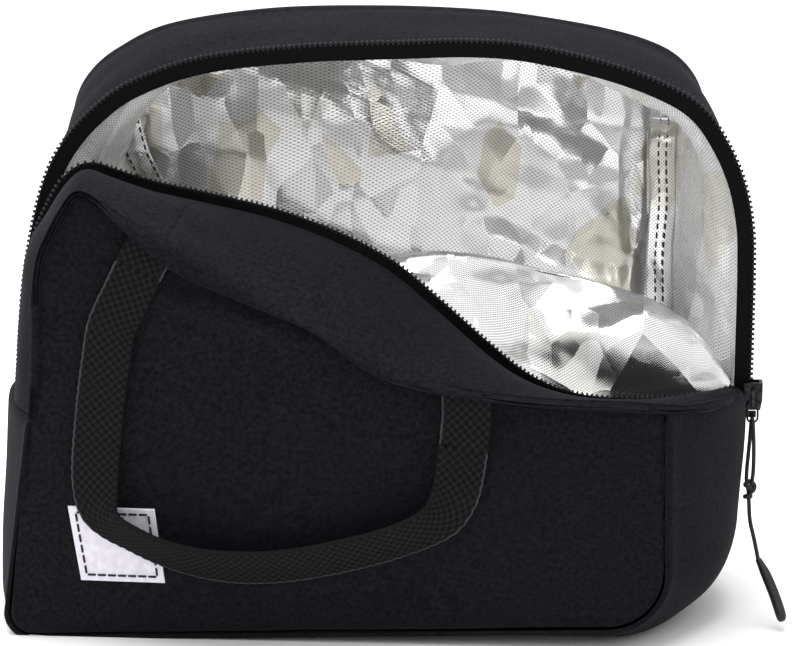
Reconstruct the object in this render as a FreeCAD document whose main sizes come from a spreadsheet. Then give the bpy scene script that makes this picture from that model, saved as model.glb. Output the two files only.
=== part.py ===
import FreeCAD
import Part
import Sketcher
import math
import os
import re

# Soft insulated lunch bag, unzipped, standing on its base.
# Millimetres, +Z up, front towards -Y, origin on the floor under the middle of the bag.
vec = FreeCAD.Vector

driving_sizes = {
    # bag body
    "panel_width": 246,
    "panel_top": 230,
    "panel_bottom": 6,
    "panel_top_radius": 52,
    "panel_foot_radius": 16,
    "bag_depth": 114,
    "side_width": 288,
    "foot_depth": 88,
    "foot_edge_radius": 22,
    "foot_radius": 34,
    "foot_left_radius": 21,
    "base_trim": 0.4,
    "zip_end_height": 88,
    "zip_crown": 222.5,
    "zip_crown_radius": 64,
    "zip_left_radius": 64,
    "zip_camber": 3,
    "panel_camber": 4,
    "shoulder_room": 2,
    "strip_swell": 2.5,
    # plies of the wall
    "cloth": 1.6,
    "foam": 3,
    "lining": 0.6,
    "ply_gap": 0.15,
    "plate_room": 1,
    # slumped front edge
    "slump_angle": 29.1,
    "slump_start": -176,
    "slump_run": 160,
    "slump_height": 97.4,
    "front_corner_radius": 10,
    "front_right_rise": 0.4,
    "flap_room": 1.6,
    "flap_rise": 1.2,
    "flap_lift_start": 5,
    "flap_lift_end": 22,
    "flap_bulge": 15,
    "flap_setback": 9,
    "panel_setback": 12,
    "cut_gap": 1.4,
    "ledge_drop": 12,
    "ledge_slope": 5,
    "ledge_back": 22,
    "ledge_foot": 16,
    "ledge_end_foot": 48,
    "left_zip_lean": 11,
    "left_zip_waist": 146,
    "left_zip_corner_in": 20,
    "left_zip_corner_height": 172,
    "right_zip_knee": 70,
    # zip
    "tape_width": 4,
    "tape_thickness": 0.8,
    "tooth_pitch": 2,
    "tooth_width": 1.2,
    "tooth_length": 2.8,
    "tooth_thickness": 1.8,
    "tooth_seat": 0.05,
    "back_zip_plane": 0,
    "front_zip_plane": -13,
    "zip_foot_drop": 8,
    "foot_stop": 2.5,
    # slider and pull
    "slider_length": 11,
    "slider_wall": 1.2,
    "slider_clearance": 0.9,
    "slider_rest_gap": 1,
    "slider_inner": 1.5,
    "slider_throat": 4.4,
    "post_width": 1.4,
    "bail_wire": 1.3,
    "bail_rise": 3.2,
    "bail_inset": 2,
    "ring_wire": 0.9,
    "ring_width": 5,
    "ring_height": 9.4,
    "ring_room": 0.1,
    "cord_diameter": 1.3,
    "cord_room": 0.5,
    "knot_rim": 0.2,
    "knot_drop": 22,
    "knot_lean": 3.5,
    "knot_shift": 0.6,
    "knot_diameter": 4.6,
    "knot_height": 8,
    "knot_round": 1.4,
    "grip_diameter": 4.6,
    "grip_neck": 2.6,
    "grip_length": 27,
    "grip_taper": 5,
    "grip_gap": 0.15,
    # carrying handles
    "webbing_width": 20,
    "webbing_thickness": 2,
    "handle_gap": 0.9,
    "tack_height": 6,
    "tack_thickness": 1,
    "tack_seam_gap": 1,
    "tack_room": 1.3,
    "front_handle_left": -150,
    "front_handle_right": -10,
    "handle_left_fall": 22,
    "handle_right_fall": 12,
    "back_handle_span": 134,
    "back_handle_drop": 100,
    "back_handle_dip": 4,
    # sewn label
    "label_width": 33,
    "label_height": 30,
    "label_thickness": 0.5,
    "label_left": 109.5,
    "label_bottom": 28,
    "label_lean": 5,
}

# Points in X and Z that the front handle hangs through, from its left end to its right end.
handle_hang = [(-101, 92), (-101, 41), (-48, 36), (21, 44)]
# The grip hangs beside the foot of the bag: how far its neck stands from the ring, and its lean.
grip_neck_place = vec(3.2, -14, 25)
grip_lean = vec(10, -14, -21.5)
# The crest of the front lining's slumped ledge: places across the bag as shares of half its width, with
# its depth along Y and its rise above the zip's ends.
ledge_crest = [
    (-0.72, 6, 36),
    (-0.4, 9, 45),
    (-0.05, 10, 48),
    (0.17, 10, 50),
    (0.41, 10, 46.5),
    (0.72, 8, 36),
    (0.9, 0, 10),
]
# Round bends of the sheets are made of this many flats, the zip's arch of finer ones.
bend_flats = 5
arch_flats = 12
flap_stations = 9
cord_flats = 8
knot_sides = 12

doc = FreeCAD.newDocument("lunch_bag")
sheet = doc.addObject("Spreadsheet::Sheet", "Dims")
for row, (alias, value) in enumerate(driving_sizes.items(), start=1):
    sheet.set(f"A{row}", alias)
    sheet.set(f"B{row}", str(value))
    sheet.setAlias(f"B{row}", alias)
doc.recompute()


def bound(text):
    """The text with each size's name pointed at its cell."""

    def cell(word):
        return "Dims." + word.group(0) if word.group(0) in driving_sizes else word.group(0)

    return re.sub(r"[a-z_]+", cell, text)


def size(text):
    """The number that an expression of sizes comes to."""
    return float(sheet.evalExpression(bound(text)))


def part_body(label):
    body = doc.addObject("PartDesign::Body", label)
    body.Label = label
    return body


def sketch_on(body, name, role, offset):
    """A sketch on one of the body's own planes, moved along the plane's normal."""
    sketch = body.newObject("Sketcher::SketchObject", name)
    plane = next(f for f in body.Origin.OriginFeatures if f.Role == role)
    sketch.AttachmentSupport = [(plane, "")]
    sketch.MapMode = "FlatFace"
    sketch.setExpression("AttachmentOffset.Base.z", bound(offset))
    return sketch


def polygon(sketch, corners):
    """A closed outline whose corners are pairs of expressions, each measured from the origin."""
    points = [vec(size(x), size(y), 0) for x, y in corners]
    sketch.addGeometry([Part.LineSegment(a, b) for a, b in zip(points, points[1:] + points[:1])])
    count = len(points)
    rules = [Sketcher.Constraint("Coincident", i, 2, (i + 1) % count, 1) for i in range(count)]
    texts = {}
    for i, corner in enumerate(corners):
        for kind, axis, text in (("DistanceX", -2, corner[0]), ("DistanceY", -1, corner[1])):
            value = size(text)
            if abs(value) < 1e-9:
                rules.append(Sketcher.Constraint("PointOnObject", i, 1, axis))
            elif value > 0:
                texts[len(rules)] = text
                rules.append(Sketcher.Constraint(kind, -1, 1, i, 1, value))
            else:
                texts[len(rules)] = f"-({text})"
                rules.append(Sketcher.Constraint(kind, i, 1, -1, 1, -value))
    sketch.addConstraint(rules)
    for index, text in texts.items():
        sketch.setExpression(f"Constraints[{index}]", bound(text))


def band(sketch, half, open_end, shut, radius, left_radius, camber, wall):
    """A U of even wall: its two ends at open_end, its closed side at shut, its bends of even flats.

    The closed side rises by its camber from the bends to its middle.
    """
    sign = "+" if size(f"{open_end} - {shut}") > 0 else "-"

    def leg(inset, round_by, side):
        bend = f"({round_by} - {inset})"
        points = [(f"{side}({half} - {inset})", open_end)]
        for i in range(bend_flats + 1):
            turn = 90 * i / bend_flats
            x = f"{side}({half} - {inset} - {bend} * (1 - cos({turn})))"
            z = f"({shut} {sign} ({camber} + {inset} + {bend} * (1 - sin({turn}))))"
            points.append((x, z))
        return points

    def outline(inset):
        peak = [("0", f"({shut} {sign} {inset})")] if camber != "0" else []
        return leg(inset, radius, "") + peak + leg(inset, left_radius, "-")[::-1]

    polygon(sketch, outline("0") + outline(wall)[::-1])


def padded_outline(label, corners, depth_start, depth):
    """A flat piece: an outline in X and Z, thick along +Y from depth_start."""
    body = part_body(label)
    sketch = sketch_on(body, label + "_outline", "XZ_Plane", f"-({depth_start})")
    polygon(sketch, corners)
    pad = body.newObject("PartDesign::Pad", label + "_pad")
    pad.Profile = sketch
    pad.setExpression("Length", bound(depth))
    pad.Reversed = True
    doc.recompute()
    return body


def rounded(body, label, places, radius):
    """Rounds the edges along Y that stand nearest to the given X and Z places."""
    base = body.Tip
    names = []
    for x, z in places:
        best = None
        for number, edge in enumerate(base.Shape.Edges, start=1):
            ends = [v.Point for v in edge.Vertexes]
            if len(ends) != 2 or abs(ends[0].y - ends[1].y) < 0.9 * edge.Length:
                continue
            off = math.hypot(ends[0].x - size(x), ends[0].z - size(z))
            if best is None or off < best[0]:
                best = (off, f"Edge{number}")
        names.append(best[1])
    fillet = body.newObject("PartDesign::Fillet", label)
    fillet.Base = (base, names)
    fillet.setExpression("Radius", bound(radius))
    doc.recompute()


def band_loft(label, sections):
    """A ruled shell through U-shaped sections, each given at its place along Y."""
    body = part_body(label)
    sketches = []
    for number, (place, *shape) in enumerate(sections):
        sketch = sketch_on(body, f"{label}_section_{number}", "XZ_Plane", f"-({place})")
        band(sketch, *shape)
        sketches.append(sketch)
    doc.recompute()
    loft = body.newObject("PartDesign::AdditiveLoft", label + "_loft")
    loft.Profile = sketches[0]
    loft.Sections = sketches[1:]
    loft.Ruled = True
    doc.recompute()
    return body


# Where each ply starts inside the outer face, how thick it is and where it stops short of the panel.
plies = {
    "cloth": ("0", "cloth", "(bag_depth / 2 - cloth)"),
    "foam": ("(cloth + ply_gap)", "foam", "(bag_depth / 2 - cloth - foam - 2 * ply_gap)"),
    "lining": (
        "(cloth + foam + 2 * ply_gap)",
        "lining",
        "(bag_depth / 2 - cloth - foam - lining - 4 * ply_gap)",
    ),
}
seam_plane = "(bag_depth / 2 - cloth)"
panel_half = "(panel_width / 2)"
side_half = "(side_width / 2)"


def half_at(place):
    """Half the bag's width at a distance from the zip line, bellied between the two panels."""
    return f"({side_half} - ({side_half} - {panel_half}) * ({place}) ^ 2 / {seam_plane} ^ 2)"


zip_edge = "(back_zip_plane + tape_thickness + ply_gap)"


def arch_share(place):
    """How far a place along Y lies from the zip towards the back panel's seam."""
    return f"(({place} - {zip_edge}) / ({seam_plane} - {zip_edge}))"


def swell_at(place):
    """How far the arch swells out at a place, most of all midway between its panel and its zip."""
    share = arch_share(place)
    return f"strip_swell * 2 * min({share}; 1 - {share})"


def crown_at(place):
    """The height of the arch, which falls from the back panel towards the zip."""
    return f"(zip_crown + (panel_top - zip_crown) * {arch_share(place)} + {swell_at(place)})"


def arch_half(place):
    """Half the arch's width, which grows from the back panel towards the zip."""
    return f"({side_half} + ({panel_half} - {side_half}) * {arch_share(place)} + {swell_at(place)})"


def panel_plates():
    """The back wall: outer cloth, foam sheet and foil lining, each a rounded plate."""
    for name, (inset, thick, stop) in plies.items():
        trim = "0" if name == "cloth" else f"({inset} + plate_room)"
        front = stop if name == "cloth" else f"({stop} + ply_gap)"
        label = {"cloth": "back_panel", "foam": "back_foam", "lining": "back_lining"}[name]
        left = f"-({panel_half} - {trim})"
        right = f"({panel_half} - {trim})"
        low = f"(panel_bottom + {trim})"
        high = f"({crown_at(front)} - {trim})"
        camber = f"(zip_camber + (panel_camber - zip_camber) * {arch_share(front)})"
        level = f"({high} - {camber})"
        flat = f"({panel_half} - panel_top_radius - shoulder_room)"
        top = [(right, level), (flat, level), ("0", high), (f"-{flat}", level), (left, level)]
        body = padded_outline(label, [(left, low), (right, low)] + top, front, thick)
        rounded(body, label + "_feet", [(left, low), (right, low)], f"panel_foot_radius - {trim}")
        rounded(body, label + "_shoulders", [(left, level), (right, level)], f"panel_top_radius - {trim}")


def base_shell():
    """The lower wall, one U of sides and underside, flared towards the zip line."""
    edge = "(foot_depth / 2)"
    for name, (inset, thick, stop) in plies.items():
        label = {"cloth": "base_gusset", "foam": "base_foam", "lining": "base_lining"}[name]
        slope = f"(({stop} - {edge}) / ({seam_plane} - {edge}))"
        seam_low = f"((panel_bottom + base_trim) * {slope} - base_trim)"
        seam_radius = f"(foot_edge_radius + (panel_foot_radius - foot_edge_radius) * {slope})"
        seam_left = f"(foot_left_radius + (panel_foot_radius - foot_left_radius) * {slope})"
        belly = f"({edge} / 2)"
        belly_radius = "(foot_radius * 3 / 4 + foot_edge_radius / 4)"
        seam_half = f"({half_at(edge)} + ({panel_half} - {half_at(edge)}) * {slope})"
        front_half = [
            (stop, seam_half, seam_low, seam_radius, seam_left),
            (edge, half_at(edge), "-base_trim", "foot_edge_radius", "foot_left_radius"),
            (belly, half_at(belly), "-base_trim", belly_radius, "foot_left_radius"),
        ]
        middle = ("0", side_half, "-base_trim", "foot_radius", "foot_left_radius")
        stations = [(f"-{place}", *rest) for place, *rest in front_half] + [middle] + front_half[::-1]
        sections = []
        for place, half, low, radius, left_radius in stations:
            bends = (f"({radius} - {inset})", f"({left_radius} - {inset})")
            shut = f"({low} + {inset})"
            sections.append((place, f"({half} - {inset})", "zip_end_height", shut, *bends, "0", thick))
        body = band_loft(label, sections)
        if name == "cloth":
            flat_foot(body, edge)


def flat_foot(body, edge):
    """Presses the underside flat on the floor, by the trim that the cloth gives there."""
    sketch = sketch_on(body, "foot_print", "XY_Plane", "0")
    reach = f"({edge} + panel_bottom)"
    left = f"-{side_half}"
    polygon(sketch, [(left, f"-{reach}"), (side_half, f"-{reach}"), (side_half, reach), (left, reach)])
    full = body.Shape.Volume
    pocket = body.newObject("PartDesign::Pocket", "foot_print_trim")
    pocket.Profile = sketch
    pocket.setExpression("Length", bound("2 * base_trim"))
    doc.recompute()
    print("underside trimmed by", round(full - body.Shape.Volume, 1), "mm3")


def back_strip():
    """The arch from the back panel to the back half of the zip."""
    start = "(zip_end_height + ply_gap)"
    for name, (inset, thick, stop) in plies.items():
        label = {"cloth": "back_zip_strip", "foam": "back_strip_foam", "lining": "back_strip_lining"}[name]
        sections = []
        for place in (stop, f"(({seam_plane} + {zip_edge}) / 2)", zip_edge):
            share = arch_share(place)
            bend = f"(zip_crown_radius + (panel_top_radius - zip_crown_radius) * {share} - {inset})"
            left_bend = f"(zip_left_radius + (panel_top_radius - zip_left_radius) * {share} - {inset})"
            camber = f"(zip_camber + (panel_camber - zip_camber) * {share})"
            half = f"({arch_half(place)} - {inset})"
            crown = f"({crown_at(place)} - {inset})"
            sections.append((place, half, start, crown, bend, left_bend, camber, thick))
        band_loft(label, sections)


# The slumped front edge runs down a straight slant, which its seam folds about.
slant_sin = "sin(slump_angle)"
slant_cos = "cos(slump_angle)"
front_right_height = "(zip_end_height + front_right_rise + cloth)"
fold_plane = "-(bag_depth / 2 - cloth / 2)"


def on_slant(along, across):
    """A place on the front, given along the slant and square to it, as X and Z."""
    turn = math.radians(size("slump_angle"))
    x = along * math.cos(turn) + across * math.sin(turn)
    z = across * math.cos(turn) - along * math.sin(turn)
    return vec(x, 0, z)


def front_plates():
    """The front wall below its slumped edge: outer cloth and foam sheet."""
    for name, label in (("cloth", "front_panel"), ("foam", "front_foam")):
        inset, thick, stop = plies[name]
        trim = "0" if name == "cloth" else f"({inset} + plate_room)"
        back = stop if name == "cloth" else f"({stop} + ply_gap)"
        slant = "slump_height" if name == "cloth" else "(slump_height - panel_setback)"
        high = front_right_height if name == "cloth" else "(zip_end_height - ply_gap)"
        left = f"-({panel_half} - {trim})"
        right = f"({panel_half} - {trim})"
        low = f"(panel_bottom + {trim})"
        knee = f"(({slant} - {high} * {slant_cos}) / {slant_sin})"
        peak = f"(({slant} - {left} * {slant_sin}) / {slant_cos})"
        corners = [(left, low), (right, low), (right, high), (knee, high), (left, peak)]
        body = padded_outline(label, corners, f"-({back} + {thick})", thick)
        rounded(body, label + "_feet", [(left, low), (right, low)], f"panel_foot_radius - {trim}")
        rounded(body, label + "_shoulder", [(left, peak)], "front_corner_radius")


def shifted(line, distance):
    """The line moved square to itself, to the right of its run, in X and Z."""
    sides = []
    for a, b in zip(line, line[1:]):
        run = (b - a).normalize()
        sides.append(vec(run.z, 0, -run.x))
    moved = []
    for i, point in enumerate(line):
        before = sides[max(i - 1, 0)]
        after = sides[min(i, len(sides) - 1)]
        middle = (before + after).normalize()
        moved.append(point + middle * (distance / middle.dot(after)))
    return moved


def closed_band(line, outer, inner, y):
    """The corners of the outline between two shifts of a line, at one place along Y."""
    corners = shifted(line, outer) + shifted(line, inner)[::-1]
    return [vec(p.x, y, p.z) for p in corners]


def flat_face(corners):
    return Part.Face(Part.makePolygon(corners + corners[:1]))


def solid_object(label, shape):
    made = doc.addObject("Part::Feature", label)
    made.Label = label
    made.Shape = shape
    return made


def between(first, second, share):
    return [a + (b - a) * share for a, b in zip(first, second)]


def faceted(label, rows, turn):
    """A sheet of flat facets through closed rows of corners, whose inner face starts at corner turn."""
    faces = [flat_face(rows[0]), flat_face(rows[-1])]
    for low, high in zip(rows, rows[1:]):
        for i in range(len(low)):
            j = (i + 1) % len(low)
            a, b = (i, j) if i < turn else (j, i)
            faces.append(flat_face([low[a], low[b], high[b]]))
            faces.append(flat_face([low[a], high[b], high[a]]))
    shell = Part.makeShell(faces)
    shell.sewShape()
    made = Part.makeSolid(shell)
    if made.Volume < 0:
        made.reverse()
    return solid_object(label, made)


def faceted_strip(label, seam_line, zip_line, shares, inset, thick):
    """A strip of cloth from the seam to the zip, in flat facets between shares of its width."""
    seam_y = size(f"{fold_plane} + flap_room")
    zip_y = size("front_zip_plane - ply_gap")
    rows = []
    for share in shares:
        y = seam_y + (zip_y - seam_y) * share
        rows.append(closed_band(between(seam_line, zip_line, share), inset, inset + thick, y))
    return faceted(label, rows, len(seam_line))


def height_on(line, x):
    """The height of a line from left to right at one place along X, level beyond its ends."""
    if x <= line[0].x:
        return line[0].z
    for a, b in zip(line, line[1:]):
        if x <= b.x:
            return a.z + (b.z - a.z) * (x - a.x) / (b.x - a.x)
    return line[-1].z


def front_ledge():
    """The front wall's lining: from the zip it slumps inwards to a ledge, then falls to the wall's foot."""
    wall_y = -size(f"{plies['lining'][2]} + ply_gap")
    flap_edge = flap_lines()[1]
    edge_line = flap_edge + right_lines()[1][1:]
    slope = size("ledge_slope")
    rows = []
    for share, crest_y, rise in ledge_crest:
        x = share * size(side_half)
        loose = x < flap_edge[-1].x
        edge_z = height_on(edge_line, x) - (size("ledge_drop") if loose else -1)
        edge_y = size("front_zip_plane") + (slope if loose else slope / 2)
        crest_z = size("zip_end_height") + rise
        back_z = crest_z - size("ledge_back")
        last = share == ledge_crest[-1][0]
        foot_z = size("ledge_end_foot" if last else "ledge_foot")
        foot_y = wall_y / 2 if last else wall_y
        profile = [
            vec(edge_y, 0, edge_z),
            vec((edge_y + crest_y) / 2 - slope / 2, 0, (edge_z + crest_z) / 2 + slope / 2),
            vec(crest_y, 0, crest_z),
            vec(crest_y - 1, 0, back_z),
            vec((crest_y + foot_y) / 2, 0, (back_z + foot_z) / 2),
            vec(foot_y, 0, foot_z),
        ]
        flat = profile + shifted(profile, -size("lining"))[::-1]
        rows.append([vec(x, p.x, p.z) for p in flat])
    return faceted("front_lining", rows, len(profile))


def flap_lines():
    """The seam and the zip edge of the middle of the front strip, which folds as one."""
    start = size("slump_start")
    run = size("slump_run")
    seam_at = size("slump_height + flap_rise")
    low = size("slump_height + flap_lift_start")
    high = size("slump_height + flap_lift_end")
    rise = size("flap_bulge")
    seam = []
    edge = []
    for i in range(flap_stations):
        share = i / (flap_stations - 1)
        swell = rise * 4 * share * (1 - share)
        seam.append(on_slant(start + run * share, seam_at))
        edge.append(on_slant(start + run * share, low + (high - low) * share + swell))
    return seam, edge


def left_lines():
    """The front strip's left leg, from the zip's left end up to the fold's high end."""
    foot = size("zip_end_height + 3 * ply_gap")
    half = size(panel_half)
    side = size(side_half)
    high_end = size("slump_start - cut_gap")
    peak = size(f"(slump_height + {panel_half} * {slant_sin}) / {slant_cos}")
    round_reach = size("front_corner_radius / tan(45 - slump_angle / 2)")
    turn = on_slant(high_end, size("slump_height"))
    seam = [
        vec(-half, 0, foot),
        vec(-half, 0, peak - round_reach),
        vec(-half, 0, peak) * 0.5 + (vec(-half, 0, peak - round_reach) + turn) * 0.25,
        turn,
    ]
    edge = [
        vec(-side, 0, foot),
        vec(size("left_zip_lean") - side, 0, size("left_zip_waist")),
        vec(size("left_zip_corner_in") - side, 0, size("left_zip_corner_height")),
        on_slant(high_end, size("slump_height + flap_lift_start")),
    ]
    return seam, edge


def right_lines():
    """The front strip's right end, which lies over the lower wall's rim up to the slider."""
    low_end = size("slump_start + slump_run + cut_gap")
    level = size(front_right_height)
    knee = size(f"(slump_height - {front_right_height} * {slant_cos}) / {slant_sin}")
    seam_y = size(f"-({fold_plane} + flap_room)")
    zip_y = size("-front_zip_plane + ply_gap")
    seam = [
        on_slant(low_end, size("slump_height")),
        vec(knee, 0, level),
        vec(size(half_at(str(seam_y))), 0, level),
    ]
    edge = [
        on_slant(low_end, size("slump_height + flap_lift_end")),
        vec(size("right_zip_knee"), 0, level),
        vec(size(half_at(str(zip_y))), 0, level),
    ]
    return seam, edge


def flat_tape(label, line, plane):
    """The zip tape, a flat band that stands out from the strip's edge."""
    outline = closed_band(line, -size("tape_width"), 0, plane)
    return solid_object(label, flat_face(outline).extrude(vec(0, size("tape_thickness"), 0)))


def teeth_along(label, line, plane):
    """A row of zip teeth, evenly spaced on the tape's free edge."""
    pitch = size("tooth_pitch")
    width = size("tooth_width")
    length = size("tooth_length")
    thick = size("tooth_thickness")
    low = plane + (size("tape_thickness") - thick) / 2
    rim = shifted(line, -size("tape_width") - size("tooth_seat"))
    teeth = []
    carried = pitch
    for a, b in zip(rim, rim[1:]):
        run = b - a
        room = run.Length
        run.normalize()
        out = vec(-run.z, 0, run.x)
        while carried < room - width:
            foot = a + run * carried
            foot.y = low
            tip_in = run * (width / 4)
            corners = [
                foot - run * (width / 2),
                foot + run * (width / 2),
                foot + run * (width / 2) + out * length - tip_in,
                foot - run * (width / 2) + out * length + tip_in,
            ]
            teeth.append(flat_face(corners).extrude(vec(0, thick, 0)))
            carried += pitch
        carried = max(carried - room, width)
    return solid_object(label, Part.makeCompound(teeth))


def back_zip_line():
    """The edge that carries the back tape: up the left side, over the crown and down the right."""
    side = size(side_half)
    crown = size("zip_crown")
    bend = size("zip_crown_radius")
    foot = size(zip_foot)
    left_bend = size("zip_left_radius")
    shoulder = crown - size("zip_camber")
    line = [vec(-side, 0, size("zip_end_height + ply_gap"))]
    for i in range(arch_flats + 1):
        turn = math.pi * (1 - i / (2 * arch_flats))
        x = left_bend - side + left_bend * math.cos(turn)
        line.append(vec(x, 0, shoulder - left_bend + left_bend * math.sin(turn)))
    line.append(vec(0, 0, crown))
    for i in range(arch_flats + 1):
        turn = math.pi / 2 * (1 - i / arch_flats)
        line.append(vec(side - bend + bend * math.cos(turn), 0, shoulder - bend + bend * math.sin(turn)))
    line.append(vec(side, 0, foot))
    return line


def front_strips():
    cloth = size("cloth")
    foam_in = size(plies["foam"][0])
    lining_in = size(plies["lining"][0])
    setback = size("flap_setback") / size("bag_depth / 2 + front_zip_plane")
    front_zip = size("front_zip_plane")
    seam, edge = flap_lines()
    faceted_strip("front_zip_strip", seam, edge, (0, setback, 1), 0, cloth)
    faceted_strip("front_strip_foam", seam, edge, (setback, 1), foam_in, size("foam"))
    faceted_strip("front_strip_lining", seam, edge, (setback, 1), lining_in, size("lining"))
    flat_tape("front_zip_tape", edge, front_zip)
    teeth_along("front_zip_teeth", edge, front_zip)
    for side_name, lines in (("left", left_lines()), ("right", right_lines())):
        seam, edge = lines
        faceted_strip(f"front_zip_strip_{side_name}", seam, edge, (0, 0.5, 1), 0, cloth)
        flat_tape(f"front_zip_tape_{side_name}", edge, front_zip)
        teeth_along(f"front_zip_teeth_{side_name}", edge, front_zip)


def back_zip():
    line = back_zip_line()
    flat_tape("back_zip_tape", line, size("back_zip_plane"))
    teeth_along("back_zip_teeth", line, size("back_zip_plane"))


def rounded_path(points):
    """Straight runs joined by tangent arcs, each as large as its two runs allow; prints the radii."""
    share = 0.45
    edges = []
    radii = []
    last = points[0]
    for before, corner, after in zip(points, points[1:], points[2:]):
        into = (corner - before).normalize()
        out = (after - corner).normalize()
        half_turn = into.getAngle(out) / 2
        cut = share * min((corner - before).Length, (after - corner).Length)
        radius = cut / math.tan(half_turn)
        radii.append(round(radius, 1))
        start = corner - into * cut
        end = corner + out * cut
        inward = (out - into).normalize()
        middle = corner + inward * (radius / math.cos(half_turn) - radius)
        edges.append(Part.LineSegment(last, start).toShape())
        edges.append(Part.Arc(start, middle, end).toShape())
        last = end
    edges.append(Part.LineSegment(last, points[-1]).toShape())
    return Part.Wire(edges), radii


def swept(label, points, profile_at):
    """A section carried along a rounded path."""
    path, radii = rounded_path(points)
    profile, area = profile_at(points[0], (points[1] - points[0]).normalize())
    shape = path.makePipeShell([profile], True, False)
    if shape.Volume < 0:
        shape = shape.reversed()
    print(label, "bend radii", radii, "volume share", round(shape.Volume / (area * path.Length), 3))
    return solid_object(label, shape)


def round_section(point, along, radius):
    """A round section of even flats, square to a run that isn't along X."""
    side = along.cross(vec(1, 0, 0)).normalize()
    front = along.cross(side)
    corners = []
    for i in range(cord_flats):
        turn = 2 * math.pi * i / cord_flats
        corners.append(point + side * (radius * math.cos(turn)) + front * (radius * math.sin(turn)))
    return Part.makePolygon(corners + corners[:1])


def cord_section(point, along):
    radius = size("cord_diameter / 2")
    area = cord_flats / 2 * radius ** 2 * math.sin(2 * math.pi / cord_flats)
    return round_section(point, along, radius), area


def webbing_section(point, along):
    across = along.cross(vec(0, 1, 0)).normalize() * size("webbing_width / 2")
    deep = vec(0, size("webbing_thickness / 2"), 0)
    corners = [point - across - deep, point + across - deep, point + across + deep, point - across + deep]
    return Part.makePolygon(corners + corners[:1]), size("webbing_width * webbing_thickness")


def handle_plane():
    return size("bag_depth / 2 + handle_gap + webbing_thickness / 2")


def tack(foot, across, up, outward):
    """The sewn-down end of a handle, a flat patch on the panel."""
    corner = foot - across * size("webbing_width / 2")
    width = across * size("webbing_width")
    height = up * size("tack_height")
    outline = flat_face([corner, corner + width, corner + width + height, corner + height])
    return outline.extrude(outward * size("tack_thickness"))


def front_handle():
    """The front handle hangs from the slumped seam and lies against the front panel."""
    y = -handle_plane()
    hinge_at = size("slump_height - tack_seam_gap - tack_height - tack_room")
    left = on_slant(size("front_handle_left"), hinge_at)
    right = on_slant(size("front_handle_right"), hinge_at)
    left_leg = on_slant(size("front_handle_left"), hinge_at - size("handle_left_fall"))
    right_leg = on_slant(size("front_handle_right"), hinge_at - size("handle_right_fall"))
    route = [left, left_leg] + [vec(x, 0, z) for x, z in handle_hang] + [right_leg, right]
    swept("front_handle", [vec(p.x, y, p.z) for p in route], webbing_section)
    along = on_slant(1, 0)
    up = on_slant(0, 1)
    patches = []
    for place in ("front_handle_left", "front_handle_right"):
        centre = on_slant(size(place), hinge_at + size("tack_room"))
        centre.y = -size("bag_depth / 2")
        patches.append(tack(centre, along, up, vec(0, -1, 0)))
    solid_object("front_handle_tacks", Part.makeCompound(patches))


def back_handle():
    """The back handle hangs from the top of the back panel."""
    y = handle_plane()
    half = size("back_handle_span / 2")
    top = size("panel_top - panel_camber - tack_seam_gap - tack_height - tack_room")
    low = top - size("back_handle_drop")
    dip = size("back_handle_dip")
    route = [
        vec(-half, y, top),
        vec(-half - dip, y, (top + low) / 2),
        vec(-half, y, low + dip),
        vec(0, y, low),
        vec(half, y, low + dip),
        vec(half + dip, y, (top + low) / 2),
        vec(half, y, top),
    ]
    swept("back_handle", route, webbing_section)
    patches = []
    for x in (-half, half):
        centre = vec(x, size("bag_depth / 2"), top + size("tack_room"))
        patches.append(tack(centre, vec(1, 0, 0), vec(0, 0, 1), vec(0, 1, 0)))
    solid_object("back_handle_tacks", Part.makeCompound(patches))


def sewn_label():
    """A small woven label, sewn on the front panel and a little askew."""
    left = "-label_left"
    right = "(label_width - label_left)"
    high = "(label_bottom + label_height)"
    corners = [
        (f"({left} + label_lean)", "label_bottom"),
        (f"({right} + label_lean)", "label_bottom"),
        (right, high),
        (left, high),
    ]
    padded_outline("sewn_label", corners, "-(bag_depth / 2 + label_thickness)", "label_thickness")


zip_foot = "(zip_end_height - zip_foot_drop)"
tooth_tip = f"({side_half} + tape_width + tooth_seat + tooth_length)"
tooth_low = "(back_zip_plane + tape_thickness / 2 - tooth_thickness / 2)"
slider_front = f"({tooth_low} - slider_clearance - slider_wall)"
slider_back = f"({tooth_low} + tooth_thickness + slider_clearance)"
slider_left = f"({side_half} + slider_inner)"
slider_right = f"({tooth_tip} + slider_clearance + post_width)"
slider_low = f"({zip_foot} + slider_rest_gap)"
slider_high = f"({slider_low} + slider_length)"
slider_middle = f"(({slider_left} + {slider_right}) / 2)"
bail_low = f"({slider_low} + bail_inset)"
bail_high = f"({slider_high} - bail_inset)"
ring_plane = f"({slider_front} - (bail_rise - bail_wire) / 2)"
ring_top = f"({bail_low} + bail_wire + ring_room + ring_wire)"


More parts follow.
